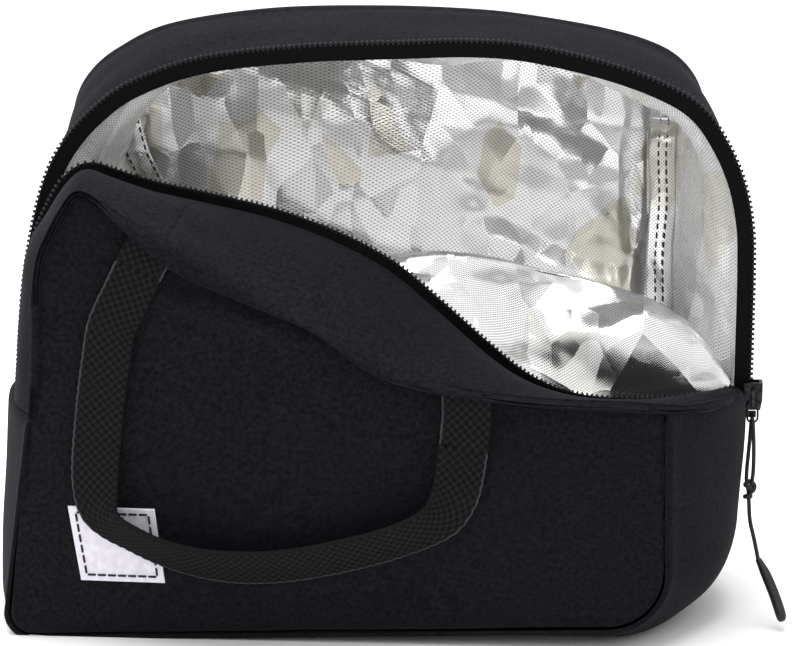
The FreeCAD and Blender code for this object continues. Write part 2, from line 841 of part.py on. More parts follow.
def zip_slider():
    """Two wings and a post round the teeth, with a bail on the front wing for the ring."""
    body = part_body("zip_slider")
    taper = "slider_inner"
    throat = f"({slider_low} + slider_throat)"
    wing = [
        (f"({slider_left} + {taper} / 2)", slider_low),
        (f"({slider_right} - {taper} / 2)", slider_low),
        (slider_right, throat),
        (slider_right, slider_high),
        (slider_left, slider_high),
        (slider_left, throat),
    ]
    post_left = f"({slider_right} - post_width)"
    post = [
        (post_left, throat),
        (slider_right, throat),
        (slider_right, slider_high),
        (post_left, slider_high),
    ]
    layers = [
        ("front_wing", wing, slider_front, "slider_wall"),
        ("post", post, f"({slider_front} + slider_wall)", f"({slider_back} - {slider_front} - slider_wall)"),
        ("back_wing", wing, slider_back, "slider_wall"),
    ]
    for name, outline, start, depth in layers:
        sketch = sketch_on(body, "slider_" + name, "XZ_Plane", f"-({start})")
        polygon(sketch, outline)
        pad = body.newObject("PartDesign::Pad", f"slider_{name}_pad")
        pad.Profile = sketch
        pad.setExpression("Length", bound(depth))
        pad.Reversed = True
        doc.recompute()
    bail = sketch_on(body, "slider_bail", "YZ_Plane", f"({slider_middle} - bail_wire / 2)")
    crest = f"({slider_front} - bail_rise)"
    under = f"({crest} + bail_wire)"
    polygon(
        bail,
        [
            (slider_front, bail_low),
            (crest, bail_low),
            (crest, bail_high),
            (slider_front, bail_high),
            (slider_front, f"({bail_high} - bail_wire)"),
            (under, f"({bail_high} - bail_wire)"),
            (under, f"({bail_low} + bail_wire)"),
            (slider_front, f"({bail_low} + bail_wire)"),
        ],
    )
    pad = body.newObject("PartDesign::Pad", "slider_bail_pad")
    pad.Profile = bail
    pad.setExpression("Length", bound("bail_wire"))
    doc.recompute()


def pull_ring():
    """A long wire ring that hangs in the slider's bail."""
    x = size(slider_middle)
    y = size(ring_plane)
    top = size(ring_top) - size("ring_wire / 2")
    bend = size("(ring_width - ring_wire) / 2")
    fall = size("ring_height - ring_wire") - 2 * bend
    high = vec(x, y, top - bend)
    low = vec(x, y, top - bend - fall)
    wide = vec(bend, 0, 0)
    rise = vec(0, 0, bend)
    path = Part.Wire([
        Part.Arc(high - wide, high + rise, high + wide).toShape(),
        Part.LineSegment(high + wide, low + wide).toShape(),
        Part.Arc(low + wide, low - rise, low - wide).toShape(),
        Part.LineSegment(low - wide, high - wide).toShape(),
    ])
    section = round_section(high - wide, vec(0, 0, 1), size("ring_wire / 2"))
    solid_object("pull_ring", path.makePipeShell([section], True, False))


def pull_cord():
    """The cord loop through the ring, its knot, the tail below it and the moulded grip."""
    x = size(slider_middle)
    y = size(ring_plane)
    ring_low = size(f"{ring_top} - ring_height")
    over = size("ring_wire / 2 + cord_diameter / 2 + cord_room")
    crest = ring_low + size("ring_wire + cord_room + cord_diameter / 2")
    knot_top = vec(x - size("knot_shift"), y - size("knot_lean"), ring_low - size("knot_drop"))
    spread = size("(knot_diameter - cord_diameter) / 2 - knot_rim")
    loop = [
        knot_top + vec(spread, 0, 0),
        vec(x + 0.9, y - over - 1.2, ring_low - 9),
        vec(x + 0.2, y - over, crest),
        vec(x - 0.2, y + over, crest),
        vec(x - 0.9, y + over - 1.2, ring_low - 9),
        knot_top - vec(spread, 0, 0),
    ]
    swept("pull_cord_loop", loop, cord_section)
    core = doc.addObject("Part::Prism", "pull_knot_core")
    core.Polygon = knot_sides
    core.setExpression("Circumradius", bound("knot_diameter / 2"))
    core.setExpression("Height", bound("knot_height"))
    core.Placement.Base = knot_top - vec(0, 0, size("knot_height + ply_gap"))
    doc.recompute()
    knot = doc.addObject("Part::Chamfer", "pull_knot")
    knot.Base = core
    cut = size("knot_round")
    level = [abs(edge.Vertexes[0].Z - edge.Vertexes[1].Z) < cut for edge in core.Shape.Edges]
    knot.Edges = [(i, cut, cut) for i, flat in enumerate(level, 1) if flat]
    doc.recompute()
    knot.Label = "pull_knot"
    tail_top = knot_top - vec(0, 0, size("knot_height + 2 * ply_gap"))
    grip_top = vec(x + grip_neck_place.x, y + grip_neck_place.y, grip_neck_place.z)
    tail = [
        tail_top,
        tail_top + vec(0.4, -1.4, -8),
        tail_top * 0.35 + grip_top * 0.65 + vec(-0.3, 0.6, 0),
        grip_top,
    ]
    swept("pull_cord_tail", tail, cord_section)
    grip_profile(grip_top, vec(grip_lean).normalize())


def grip_profile(top, lean):
    """The moulded grip: a slim neck that swells to a round-ended stem."""
    body = part_body("pull_grip")
    sketch = sketch_on(body, "pull_grip_half", "XZ_Plane", "0")
    corners = [
        ("0", "grip_gap"),
        ("grip_neck / 2", "grip_gap"),
        ("grip_diameter / 2", "(grip_gap + grip_taper)"),
        ("grip_diameter / 2", "(grip_length - grip_taper / 2)"),
        ("grip_neck / 2", "grip_length"),
        ("0", "grip_length"),
    ]
    polygon(sketch, corners)
    turn = body.newObject("PartDesign::Revolution", "pull_grip_turn")
    turn.Profile = sketch
    turn.ReferenceAxis = (sketch, ["V_Axis"])
    turn.Angle = 360
    doc.recompute()
    body.Placement = FreeCAD.Placement(top, FreeCAD.Rotation(vec(0, 0, 1), lean))


def foot_stop():
    """The stop at the zip's right end, under the slider."""
    corners = [
        (f"({side_half} + ply_gap)", f"({zip_foot} - ply_gap - foot_stop)"),
        (tooth_tip, f"({zip_foot} - ply_gap - foot_stop)"),
        (tooth_tip, f"({zip_foot} - ply_gap)"),
        (f"({side_half} + ply_gap)", f"({zip_foot} - ply_gap)"),
    ]
    padded_outline("zip_foot_stop", corners, tooth_low, "tooth_thickness")


panel_plates()
base_shell()
back_strip()
front_plates()
front_strips()
front_ledge()
back_zip()
front_handle()
back_handle()
sewn_label()
zip_slider()
pull_ring()
pull_cord()
foot_stop()
doc.recompute()

nodes = [o for o in doc.Objects if o.TypeId in ("PartDesign::Body", "Part::Feature", "Part::Chamfer")]
faults = [o.Name for o in doc.Objects if "Invalid" in o.State or "Error" in o.State]
faults += [o.Label for o in nodes if o.Shape.isNull() or not o.Shape.isValid()]
if faults:
    raise RuntimeError(f"failed: {faults}")
os.makedirs("parts", exist_ok=True)
for made in nodes:
    made.Shape.exportStep(f"parts/{made.Label}.step")
    print(made.Label, len(made.Shape.Solids), "solids", round(made.Shape.Volume, 1), "mm3")
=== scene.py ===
import bmesh
import bpy
from bisect import bisect_right
from math import cos, exp, pi, radians, sin
from mathutils import Matrix, Vector, noise


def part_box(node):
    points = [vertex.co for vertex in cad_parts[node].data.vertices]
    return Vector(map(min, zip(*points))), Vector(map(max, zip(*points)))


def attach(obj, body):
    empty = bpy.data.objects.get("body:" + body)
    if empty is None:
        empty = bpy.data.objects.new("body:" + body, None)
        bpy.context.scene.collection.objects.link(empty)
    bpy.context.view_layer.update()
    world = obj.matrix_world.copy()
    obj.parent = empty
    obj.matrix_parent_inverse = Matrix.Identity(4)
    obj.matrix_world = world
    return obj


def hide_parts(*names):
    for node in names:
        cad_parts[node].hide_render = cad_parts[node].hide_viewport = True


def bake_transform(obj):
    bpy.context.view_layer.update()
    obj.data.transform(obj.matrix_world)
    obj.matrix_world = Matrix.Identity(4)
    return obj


# Soft insulated lunch bag, unzipped, with its front slumped. Sizes in millimetres, turned to metres by mm.
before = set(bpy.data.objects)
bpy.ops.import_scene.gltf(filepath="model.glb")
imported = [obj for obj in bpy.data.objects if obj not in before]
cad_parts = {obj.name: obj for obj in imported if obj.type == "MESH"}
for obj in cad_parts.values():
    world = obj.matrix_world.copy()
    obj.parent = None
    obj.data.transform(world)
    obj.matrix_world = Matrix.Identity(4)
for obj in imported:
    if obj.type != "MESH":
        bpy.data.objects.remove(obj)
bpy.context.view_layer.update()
mm = 0.001


# camera, light and floor

view = {"target": (11, 0, 113), "distance": 1400, "azimuth": 4, "elevation": 15, "lens": 160.7, "sensor": 36}
studio = {
    "keySize": 1300, "keyPlace": (-150, 60, 1500), "keyWatts": 26,
    "skyLow": 0.4, "skyHigh": 1.1, "skyTop": 0.6,
    "floorSize": 9000,
}


def linear(hexText):
    # sRGB hex to the linear colour that the shaders take
    parts = [int(hexText[i:i + 2], 16) / 255 for i in (1, 3, 5)]
    return tuple(c / 12.92 if c <= 0.04045 else ((c + 0.055) / 1.055) ** 2.4 for c in parts) + (1.0,)


def placed(name, data):
    obj = bpy.data.objects.new(name, data)
    bpy.context.scene.collection.objects.link(obj)
    return obj


def finished(name, bm, materials, smooth=True):
    mesh = bpy.data.meshes.new(name)
    bm.to_mesh(mesh)
    bm.free()
    for material in materials:
        mesh.materials.append(material)
    if smooth:
        mesh.shade_smooth()
    return placed(name, mesh)


def addNode(tree, kind, links=None, **settings):
    # an input takes a socket, a node's first output or a plain value
    node = tree.nodes.new("ShaderNode" + kind)
    for key, value in settings.items():
        setattr(node, key, value)
    for socket, source in (links or {}).items():
        if isinstance(source, bpy.types.Node):
            source = source.outputs[0]
        if isinstance(source, bpy.types.NodeSocket):
            tree.links.new(source, node.inputs[socket])
        else:
            node.inputs[socket].default_value = source
    return node


def newMaterial(name):
    material = bpy.data.materials.new(name)
    material.use_nodes = True
    tree = material.node_tree
    return material, tree, tree.nodes["Principled BSDF"]


def setCamera():
    turn = radians(view["azimuth"])
    tilt = radians(view["elevation"])
    back = Vector((sin(turn) * cos(tilt), -cos(turn) * cos(tilt), sin(tilt)))
    target = Vector(view["target"]) * mm
    data = bpy.data.cameras.new("photoCamera")
    data.lens = view["lens"]
    data.sensor_width = view["sensor"]
    data.clip_end = 50
    camera = placed("photoCamera", data)
    camera.location = target + back * view["distance"] * mm
    camera.rotation_euler = (-back).to_track_quat("-Z", "Y").to_euler()
    bpy.context.scene.camera = camera


def softbox(name, place, size, watts):
    data = bpy.data.lights.new(name, "AREA")
    data.size = size * mm
    data.energy = watts
    lamp = placed(name, data)
    lamp.location = Vector(place) * mm
    lamp.rotation_euler = (Vector(view["target"]) * mm - lamp.location).to_track_quat("-Z", "Y").to_euler()


def setStudio():
    scene = bpy.context.scene
    scene.view_settings.view_transform = "Standard"
    world = bpy.data.worlds.new("studio")
    scene.world = world
    world.use_nodes = True
    tree = world.node_tree
    tree.nodes.clear()
    # dim round the horizon and bright overhead, so that the film has darker and lighter things to mirror
    split = addNode(tree, "SeparateXYZ", {0: addNode(tree, "TexCoord").outputs["Generated"]})
    level = addNode(tree, "MapRange", {
        "Value": split.outputs[2], "From Max": studio["skyTop"],
        "To Min": studio["skyLow"], "To Max": studio["skyHigh"]}, interpolation_type="SMOOTHSTEP")
    sky = addNode(tree, "Background", {"Color": linear("#ffffff"), "Strength": level})
    addNode(tree, "OutputWorld", {"Surface": sky})
    softbox("keyLight", studio["keyPlace"], studio["keySize"], studio["keyWatts"])
    material, tree, shader = newMaterial("matt white studio floor")
    shader.inputs["Base Color"].default_value = linear("#fbfbfb")
    shader.inputs["Roughness"].default_value = 0.9
    shader.inputs["Specular IOR Level"].default_value = 0.1
    floor = bmesh.new()
    bmesh.ops.create_grid(floor, x_segments=1, y_segments=1, size=studio["floorSize"] * mm / 2)
    finished("studioFloor", floor, [material], smooth=False)


setCamera()
setStudio()
print("camera and studio set")


# curves through listed points

def curve(points):
    return [Vector(p) for p in points]


def through(points, t):
    # a smooth line through the points, t from 0 to 1
    spans = len(points) - 1
    place = min(max(t, 0.0), 1.0) * spans
    i = min(int(place), spans - 1)
    f = place - i
    a = points[max(i - 1, 0)]
    b = points[i]
    c = points[i + 1]
    d = points[min(i + 2, spans)]
    square = 2 * a - 5 * b + 4 * c - d
    cube = 3 * b - a - 3 * c + d
    return 0.5 * (2 * b + (c - a) * f + square * f ** 2 + cube * f ** 3)


def evenly(line, samples=400):
    # turns a share of a line's length into its own parameter, and gives the length
    spots = [line(i / samples) for i in range(samples + 1)]
    reached = [0.0]
    for a, b in zip(spots, spots[1:]):
        reached.append(reached[-1] + (b - a).length)

    def at(share):
        want = min(max(share, 0.0), 1.0) * reached[-1]
        low = min(bisect_right(reached, want), samples) - 1
        step = reached[low + 1] - reached[low]
        return (low + (want - reached[low]) / step if step > 0 else low) / samples

    return at, reached[-1]


def mixed(a, b, share):
    return a + (b - a) * share


def eased(x, start=0, end=1):
    # 0 up to the start, 1 from the end on, and a smooth rise between them
    share = min(max((x - start) / (end - start), 0.0), 1.0)
    return share * share * (3 - 2 * share)


def wave(point, span, seed):
    # smooth noise of a given span in millimetres, about -1 to 1
    return noise.noise(Vector(point) / span + Vector((seed, 1.7 * seed, -seed)))


def creased(point, span, seed):
    # straight creases in several directions, bent a little, with flat facets between them, about -1 to 1
    total = 0.0
    for k in range(5):
        turn = seed + 2.4 * k
        along = Vector((cos(turn), sin(2.1 * turn), sin(turn))).normalized()
        place = point.dot(along) / (span * (0.8 + 0.22 * k)) + 0.2 * wave(point, 1.6 * span, seed + k)
        total += abs(2 * (place % 1) - 1) - 0.5
    return 0.8 * total


def block(bm, centre, shape):
    # a cube of one millimetre, turned and stretched by shape, centred in millimetres
    bmesh.ops.create_cube(bm, size=1, matrix=Matrix.Scale(mm, 4) @ Matrix.Translation(centre) @ shape)


def softened(bm, edges, offset, segments=1):
    bmesh.ops.bevel(bm, geom=edges, offset=offset * mm, affect="EDGES", segments=segments, profile=0.5,
                    material=-1)


def makeSheet(name, cells, place, flat, materials, ripple=None, flip=False, thick=0, side=-1):
    # a grid laid on place(u, v), pushed along its normals by ripple, with its true size in its UV map
    bm = bmesh.new()
    uvLayer = bm.loops.layers.uv.new("UVMap")
    bmesh.ops.create_grid(bm, x_segments=cells[0], y_segments=cells[1], size=0.5, calc_uvs=True)
    spots = {vert: (vert.co.x + 0.5, vert.co.y + 0.5) for vert in bm.verts}
    for face in bm.faces:
        for loop in face.loops:
            u, v = spots[loop.vert]
            loop[uvLayer].uv = (u * flat[0] * mm, v * flat[1] * mm)
    for vert, (u, v) in spots.items():
        vert.co = place(u, v) * mm
    if flip:
        bmesh.ops.reverse_faces(bm, faces=bm.faces[:])
    bm.normal_update()
    if ripple:
        moves = {vert: vert.normal * ripple(u, v, vert.co / mm) * mm for vert, (u, v) in spots.items()}
        for vert, move in moves.items():
            vert.co += move
    obj = finished(name, bm, materials)
    if thick:
        wall = obj.modifiers.new("wall", "SOLIDIFY")
        wall.thickness = thick * mm
        wall.offset = side
    return obj


def ride(obj, body, slot, *nodes, stretch=None):
    # moves with one body; given a stretch, it is only baked in place and follows no body
    if stretch:
        start, end = [Vector(place) * mm for place in stretch]
        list(body)
        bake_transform(obj)
    else:
        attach(obj, body)
    if nodes:
        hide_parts(*nodes)
    return obj


towardsFront = Vector((0, -1, 0))


def faceOf(obj, point, facing=towardsFront):
    # the depth along Y at which an object is met from the side it faces
    start = Vector((point.x, 200 * facing.y, point.z)) * mm
    found, spot = obj.ray_cast(start, -facing)[:2]
    return spot.y / mm if found else None


def rumpled(point, waves):
    # soft unevenness, the sum of waves of a depth, a span and a seed
    return sum(depth * wave(point, span, seed) for depth, span, seed in waves)


def outward(line, t, step=0.004):
    # square to a line in X and Z, to the left of its run
    run = line(t + step) - line(t - step)
    return Vector((-run.z, 0, run.x)).normalized()


# materials

def threads(tree, pitch, crossing="MULTIPLY", turn=0):
    # two sets of threads that cross on the UV map, -1 to 1, pitch in millimetres and turn in degrees
    scale = 2 * pi / (pitch * mm)
    scaled = addNode(tree, "Mapping", {
        "Vector": addNode(tree, "TexCoord").outputs["UV"], "Scale": (scale, scale, scale),
        "Rotation": (0, 0, radians(turn))})
    waves = addNode(tree, "VectorMath", {0: scaled}, operation="SINE")
    split = addNode(tree, "SeparateXYZ", {0: waves})
    return addNode(tree, "Math", {0: split.outputs[0], 1: split.outputs[1]}, operation=crossing)


def speckle(tree, size, detail=3.0):
    # noise on Object coordinates, size in millimetres
    return addNode(tree, "TexNoise", {
        "Vector": addNode(tree, "TexCoord").outputs["Object"], "Scale": 1 / (size * mm), "Detail": detail})


def dyed(tree, pattern, low, high, dark, light, most=1.0):
    # goes from the dark tone towards the light one as the pattern goes from low to high
    tones = [linear(tone) if isinstance(tone, str) else tone for tone in (dark, light)]
    share = addNode(tree, "MapRange", {"Value": pattern, "From Min": low, "From Max": high, "To Max": most})
    return addNode(tree, "Mix", {0: share, 6: tones[0], 7: tones[1]}, data_type="RGBA").outputs[2]


def linted(tree, weave, share, size):
    # lint, size in millimetres, added to a weave that counts for its share
    raised = addNode(tree, "MapRange", {"Value": weave, "From Min": -1, "From Max": 1, "To Max": share})
    return addNode(tree, "Math", {0: raised, 1: speckle(tree, size)}, operation="ADD")


def surfaced(tree, shader, colour, settings, relief=None):
    # relief is a height, its depth in millimetres, its strength and, if given, the normal that it starts from
    tree.links.new(colour, shader.inputs["Base Color"])
    for socket, value in settings.items():
        shader.inputs[socket].default_value = value
    if relief:
        height, depth, strength, *normal = relief
        bump = addNode(tree, "Bump", {"Height": height, "Distance": depth * mm, "Strength": strength})
        for source in normal:
            tree.links.new(source.outputs[0], bump.inputs["Normal"])
        tree.links.new(bump.outputs[0], shader.inputs["Normal"])


def facets(tree, size, turn):
    # straight-edged patches, size millimetres wide and twice as long, each with a random value from -0.5 to 0.5
    scale = 1 / (size * mm)
    bend = (0.2, 0.2, 0.2)
    turned = addNode(tree, "Mapping", {
        "Vector": addNode(tree, "TexCoord").outputs["Object"], "Scale": (scale, scale, 0.5 * scale),
        "Rotation": (0, turn, 0)})
    drift = addNode(tree, "TexNoise", {"Vector": turned, "Scale": 1.2, "Detail": 1.0}).outputs["Color"]
    bent = addNode(tree, "VectorMath", {0: drift, 1: bend, 2: turned}, operation="MULTIPLY_ADD")
    cells = addNode(tree, "TexVoronoi", {"Vector": bent, "Scale": 1.0}).outputs["Color"]
    return addNode(tree, "VectorMath", {0: cells, 1: (0.5, 0.5, 0.5)}, operation="SUBTRACT")


def tilted(tree, patches, amounts):
    # the surface's normal leaned a little differently in each patch
    normal = addNode(tree, "NewGeometry").outputs["Normal"]
    for patch, amount in zip(patches, amounts):
        lean = addNode(tree, "VectorMath", {0: patch, 3: amount}, operation="SCALE")
        normal = addNode(tree, "VectorMath", {0: normal, 1: lean}, operation="ADD")
    return addNode(tree, "VectorMath", {0: normal}, operation="NORMALIZE")


def blackCloth():
    # plain-weave polyester: matt, near black, a faint cool sheen and fine lint where light grazes it.
    # The real threads are about 0.4 mm apart; they are drawn at 1.0 mm so that the weave shows.
    material, tree, shader = newMaterial("black plain-weave polyester")
    grain = linted(tree, threads(tree, 1.0), 0.45, 1.6)
    base = dyed(tree, grain, 0.42, 1.0, "#030304", "#1f1f23")
    tinted = dyed(tree, speckle(tree, 38, 2.0), 0.35, 0.7, base, "#101014", 0.3)
    surfaced(tree, shader, tinted, {
        "Roughness": 0.88, "Specular IOR Level": 0.05, "Sheen Weight": 0.05, "Sheen Roughness": 0.5,
        "Sheen Tint": linear("#b9bac8")}, (grain, 0.25, 0.55))
    return material


def blackWebbing():
    # woven polypropylene webbing: chunky dotted weave, dull, paler along its outer edge, partly wear and partly
    # a painted highlight where light catches that edge
    material, tree, shader = newMaterial("black polypropylene webbing")
    split = addNode(tree, "SeparateXYZ", {0: addNode(tree, "TexCoord").outputs["UV"]})
    weave = threads(tree, webbing["threadPitch"])
    half = webbing["width"] * mm / 2
    # the pale outer edge: speckled wear, and a painted highlight of light catching the edge
    edge = addNode(tree, "Math", {0: split.outputs[1], 1: half}, operation="SUBTRACT")
    near = addNode(tree, "MapRange", {"Value": edge, "From Min": half * 0.9, "From Max": half, "To Max": 0.75})
    wornAndHighlit = addNode(tree, "Math", {0: near, 1: speckle(tree, 1.1)}, operation="MULTIPLY")
    base = dyed(tree, weave, -0.7, 0.9, "#070708", "#1e1e21")
    surfaced(tree, shader, dyed(tree, wornAndHighlit, 0, 1, base, "#6f6f72"), {
        "Roughness": 0.8, "Specular IOR Level": 0.1}, (weave, 0.3, 0.5))
    return material


def foilLining(name, metallic, smooth, rough, lean, warmReflection):
    # aluminised film on a diamond scrim: bright and crushed, with warm beige patches painted into its colour as
    # reflections of a warm surrounding.
    # The scrim's threads stand 1.0 mm apart, and the sizes of its facets, painted warm reflections and soil are
    # in millimetres.
    material, tree, shader = newMaterial(name)
    scrim = threads(tree, 1.0, "MAXIMUM", 45)
    silver = dyed(tree, scrim, -0.2, 1.0, "#b0b0b0", "#ffffff")
    pick = addNode(tree, "SeparateXYZ", {0: facets(tree, 17, 1.1)})
    # painted reflection: some facets tinted warm beige, as if they mirrored a warm surrounding
    paintedReflection = dyed(tree, pick, 0.27, 0.31, silver, "#b5aa84", warmReflection)
    soil = addNode(tree, "MapRange", {
        "Value": speckle(tree, 9), "From Min": 0.3, "From Max": 0.75, "To Min": smooth, "To Max": rough})
    tree.links.new(soil.outputs[0], shader.inputs["Roughness"])
    leaning = tilted(tree, (facets(tree, 26, 0.5), facets(tree, 11, -0.6)), (lean, 0.45 * lean))
    surfaced(tree, shader, paintedReflection, {
        "Metallic": metallic, "Specular IOR Level": 1.0}, (scrim, 0.1, 0.16, leaning))
    return material


def zipTape():
    # woven polyester tape: dull black with a fine weave, drawn at 1 mm so that it shows
    material, tree, shader = newMaterial("black woven zip tape")
    weave = threads(tree, 1.0)
    surfaced(tree, shader, dyed(tree, weave, -1, 1, "#070708", "#131315"), {
        "Roughness": 0.85, "Specular IOR Level": 0.06}, (weave, 0.2, 0.5))
    return material


def satinLabel():
    # satin-woven polyester: pale lilac white with a fine thread grain, 0.7 mm apart so that it shows
    material, tree, shader = newMaterial("pale satin woven label")
    grain = linted(tree, threads(tree, 0.7), 0.4, 2.5)
    base = dyed(tree, grain, 0.4, 0.9, "#cfcbd6", "#e9e5ee")
    surfaced(tree, shader, base, {"Roughness": 0.6}, (grain, 0.1, 0.3))
    return material


def speckled(name, size, low, high, dark, light, settings, relief=()):
    # a finish that varies in specks, size in millimetres, the finest drawn coarse enough to show
    material, tree, shader = newMaterial(name)
    specks = speckle(tree, size)
    surfaced(tree, shader, dyed(tree, specks, low, high, dark, light), settings, relief and (specks, *relief))
    return material


webbing = {"width": 18.6, "thick": 2, "threadPitch": 3.4, "dotHeight": 0.22, "gap": 0.5, "cell": 0.85}

cloth = blackCloth()
webbingCloth = blackWebbing()
foil = foilLining("aluminised film on scrim", metallic=0.58, smooth=0.1, rough=0.22, lean=0.5, warmReflection=0.42)
brightFoil = foilLining("smooth aluminised film", metallic=0.95, smooth=0.05, rough=0.16, lean=0.42, warmReflection=0.15)
crushedFoil = foilLining("crushed aluminised film", metallic=0.15, smooth=0.2, rough=0.4, lean=0.45, warmReflection=0.25)
tape = zipTape()
# extruded nylon: smooth black with a dull gloss on each rounded tooth
coil = speckled("black nylon coil", 3, 0, 1, "#0c0c0e", "#242427", {
    "Roughness": 0.5, "Specular IOR Level": 0.25})
labelCloth = satinLabel()
# spun polyester sewing thread: matt black, a little fuzzy
thread = speckled("black sewing thread", 0.8, 0, 1, "#08080a", "#2a2a2e", {"Roughness": 0.85})
# black-lacquered zinc and steel: dark, glossy, rubbed paler in places
metal = speckled("black lacquered zinc", 2.2, 0.45, 0.8, "#0b0b0c", "#38383b", {
    "Metallic": 0.7, "Roughness": 0.32})
# fine braided polyester: matt black with faintly paler strands
cordFibre = speckled("black braided cord", 0.7, 0, 1, "#050506", "#151517", {"Roughness": 0.7})
# injection-moulded soft plastic: even black, satin, very fine spark texture
plastic = speckled("black moulded soft plastic", 0.6, 0, 1, "#060607", "#0f0f10", {
    "Roughness": 0.5}, (0.05, 0.3))
print("materials made")


# zip pull: cord, knot, grip and ring come first, since everything else stands clear of them

pull = {
    "cordDiameter": 1.6,
    "loop": [(149.2, -7.05, 50.2), (150.2, -7.0, 54.5), (150.23, -6.35, 66.9), (149.53, -5.15, 77.95),
             (149.13, -1.95, 77.95), (148.43, -3.15, 66.9), (147.28, -7.05, 53.9)],
    "throughKnot": [(148.4, -7.05, 50.0)],
    "tail": [(148.73, -7.05, 45.6), (149.13, -8.45, 37.6), (150.9, -13.28, 32.2), (152.53, -17.55, 25.0)],
    "exit": (149.33, -3.55, 76.35),
    "knotTop": 53.75, "knotFoot": 45.75, "knotCentre": (148.73, -7.05), "knotTurns": 36,
    "gripLean": (10, -14, -21.5), "gripLength": 27, "gripWidth": 4.1, "gripNeck": 2.6, "gripBend": 1.1,
    "ringWire": 0.9, "ringTurns": 20, "ringSpread": 1.02,
}


def routeCurve(name, points, radius, cyclic=False):
    data = bpy.data.curves.new(name, "CURVE")
    data.dimensions = "3D"
    spline = data.splines.new("NURBS")
    spline.points.add(len(points) - 1)
    for target, point in zip(spline.points, points):
        target.co = tuple(Vector(point) * mm) + (1.0,)
    spline.order_u = 3
    spline.use_endpoint_u = not cyclic
    spline.use_cyclic_u = cyclic
    spline.resolution_u = 12
    data.bevel_depth = radius * mm
    data.bevel_resolution = 4
    data.use_fill_caps = True
    return placed(name, data)


def curveAsMesh(name, obj, material):
    mesh = bpy.data.meshes.new_from_object(obj.evaluated_get(bpy.context.evaluated_depsgraph_get()))
    bpy.data.objects.remove(obj)
    mesh.name = name
    mesh.materials.clear()
    mesh.materials.append(material)
    mesh.shade_smooth()
    return placed(name, mesh)


def makeKnot():
    # an overhand knot drawn tight: the cord winds twice round itself
    low = pull["knotFoot"]
    high = pull["knotTop"]
    centre = pull["knotCentre"]
    across = pull["cordDiameter"] * 1.1
    points = []
    for i in range(pull["knotTurns"]):
        angle = 2 * pi * i / pull["knotTurns"]
        reach = across * (0.62 + 0.42 * cos(3 * angle))
        climb = (high - low) * 0.42 * sin(angle + 0.4) + 0.4 * sin(3 * angle)
        points.append((
            centre[0] + reach * cos(2 * angle) * 1.15,
            centre[1] + reach * sin(2 * angle) * 0.95,
            (low + high) / 2 + climb,
        ))
    obj = routeCurve("pullKnotLine", points, pull["cordDiameter"] * 0.56, cyclic=True)
    return curveAsMesh("pullKnot", obj, cordFibre)


def makeGrip():
    # a turned stem with a slim neck and a round end, bent a little
    lean = Vector(pull["gripLean"]).normalized()
    start = Vector(pull["tail"][-1])
    length = pull["gripLength"]
    neck = pull["gripNeck"] / 2
    wide = pull["gripWidth"] / 2
    profile = [(0, 0), (neck * 0.8, 0), (neck, 0.5), (neck * 1.05, 2.2), (wide * 0.86, 4.2), (wide, 7),
               (wide, 15), (wide * 1.04, length - 4), (wide * 0.98, length - 1.8), (wide * 0.7, length - 0.5),
               (0, length)]
    bm = bmesh.new()
    verts = [bm.verts.new((x, 0, z)) for x, z in profile]
    edges = [bm.edges.new(pair) for pair in zip(verts, verts[1:])]
    bmesh.ops.spin(bm, geom=verts + edges, cent=(0, 0, 0), axis=(0, 0, 1), angle=2 * pi, steps=24,
                   use_merge=True)
    bmesh.ops.remove_doubles(bm, verts=bm.verts[:], dist=0.001)
    bmesh.ops.recalc_face_normals(bm, faces=bm.faces[:])
    stand = lean.to_track_quat("Z", "Y").to_matrix().to_4x4()
    for vert in bm.verts:
        vert.co.x += pull["gripBend"] * sin(pi * min(max(vert.co.z / length, 0), 1))
    bmesh.ops.transform(bm, matrix=Matrix.Scale(mm, 4) @ Matrix.Translation(start) @ stand, verts=bm.verts[:])
    obj = finished("pullGrip", bm, [plastic])
    rounder = obj.modifiers.new("rounder", "SUBSURF")
    rounder.levels = 1
    rounder.render_levels = 1
    return obj


def makeRing():
    # a long ring of wire, its points spread a little because the spline runs inside them
    low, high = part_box("pull_ring")
    wire = pull["ringWire"]
    middle = (low + high) / 2 / mm
    halfX = (high.x - low.x) / mm / 2 - wire / 2
    halfZ = (high.z - low.z) / mm / 2 - wire / 2
    reach = pull["ringSpread"] * halfX
    points = []
    for i in range(pull["ringTurns"]):
        angle = 2 * pi * i / pull["ringTurns"]
        straight = (halfZ - halfX) * (1 if sin(angle) > 0 else -1)
        points.append((middle.x + reach * cos(angle), middle.y,
                       middle.z + straight + reach * sin(angle)))
    obj = routeCurve("pullRingLine", points, wire / 2, cyclic=True)
    return curveAsMesh("pullRing", obj, metal)


def makePull():
    points = pull["loop"] + pull["throughKnot"] + pull["tail"]
    line = routeCurve("pullCord", points, pull["cordDiameter"] / 2)
    line.data.materials.append(cordFibre)
    knot = makeKnot()
    grip = makeGrip()
    ride(line, "pull_cord", "pull_cord", "pull_cord_loop", "pull_cord_tail")
    ride(knot, "pull_cord", "pull_cord", "pull_knot")
    ride(grip, "pull_cord", "moulded_grip", "pull_grip")
    ride(makeRing(), "pull_ring", "dark_metal", "pull_ring")


makePull()
print("zip pull made")


# outlines of the bag's soft walls, in X and Z at their depth along Y

bag = {
    "frontSeam": -56.0, "backSeam": 55.6, "backZip": 0.9, "zipEndHeight": 88,
    "clothThick": 1.6, "foilThick": 0.6, "wall": 5.6,
    "seamRoll": 1.2, "seamReach": 2.4, "rimTurn": 3.5, "rightRise": 8.6,
    "crown": 2.0, "sideSwell": 0.9, "underSwell": 5,
}

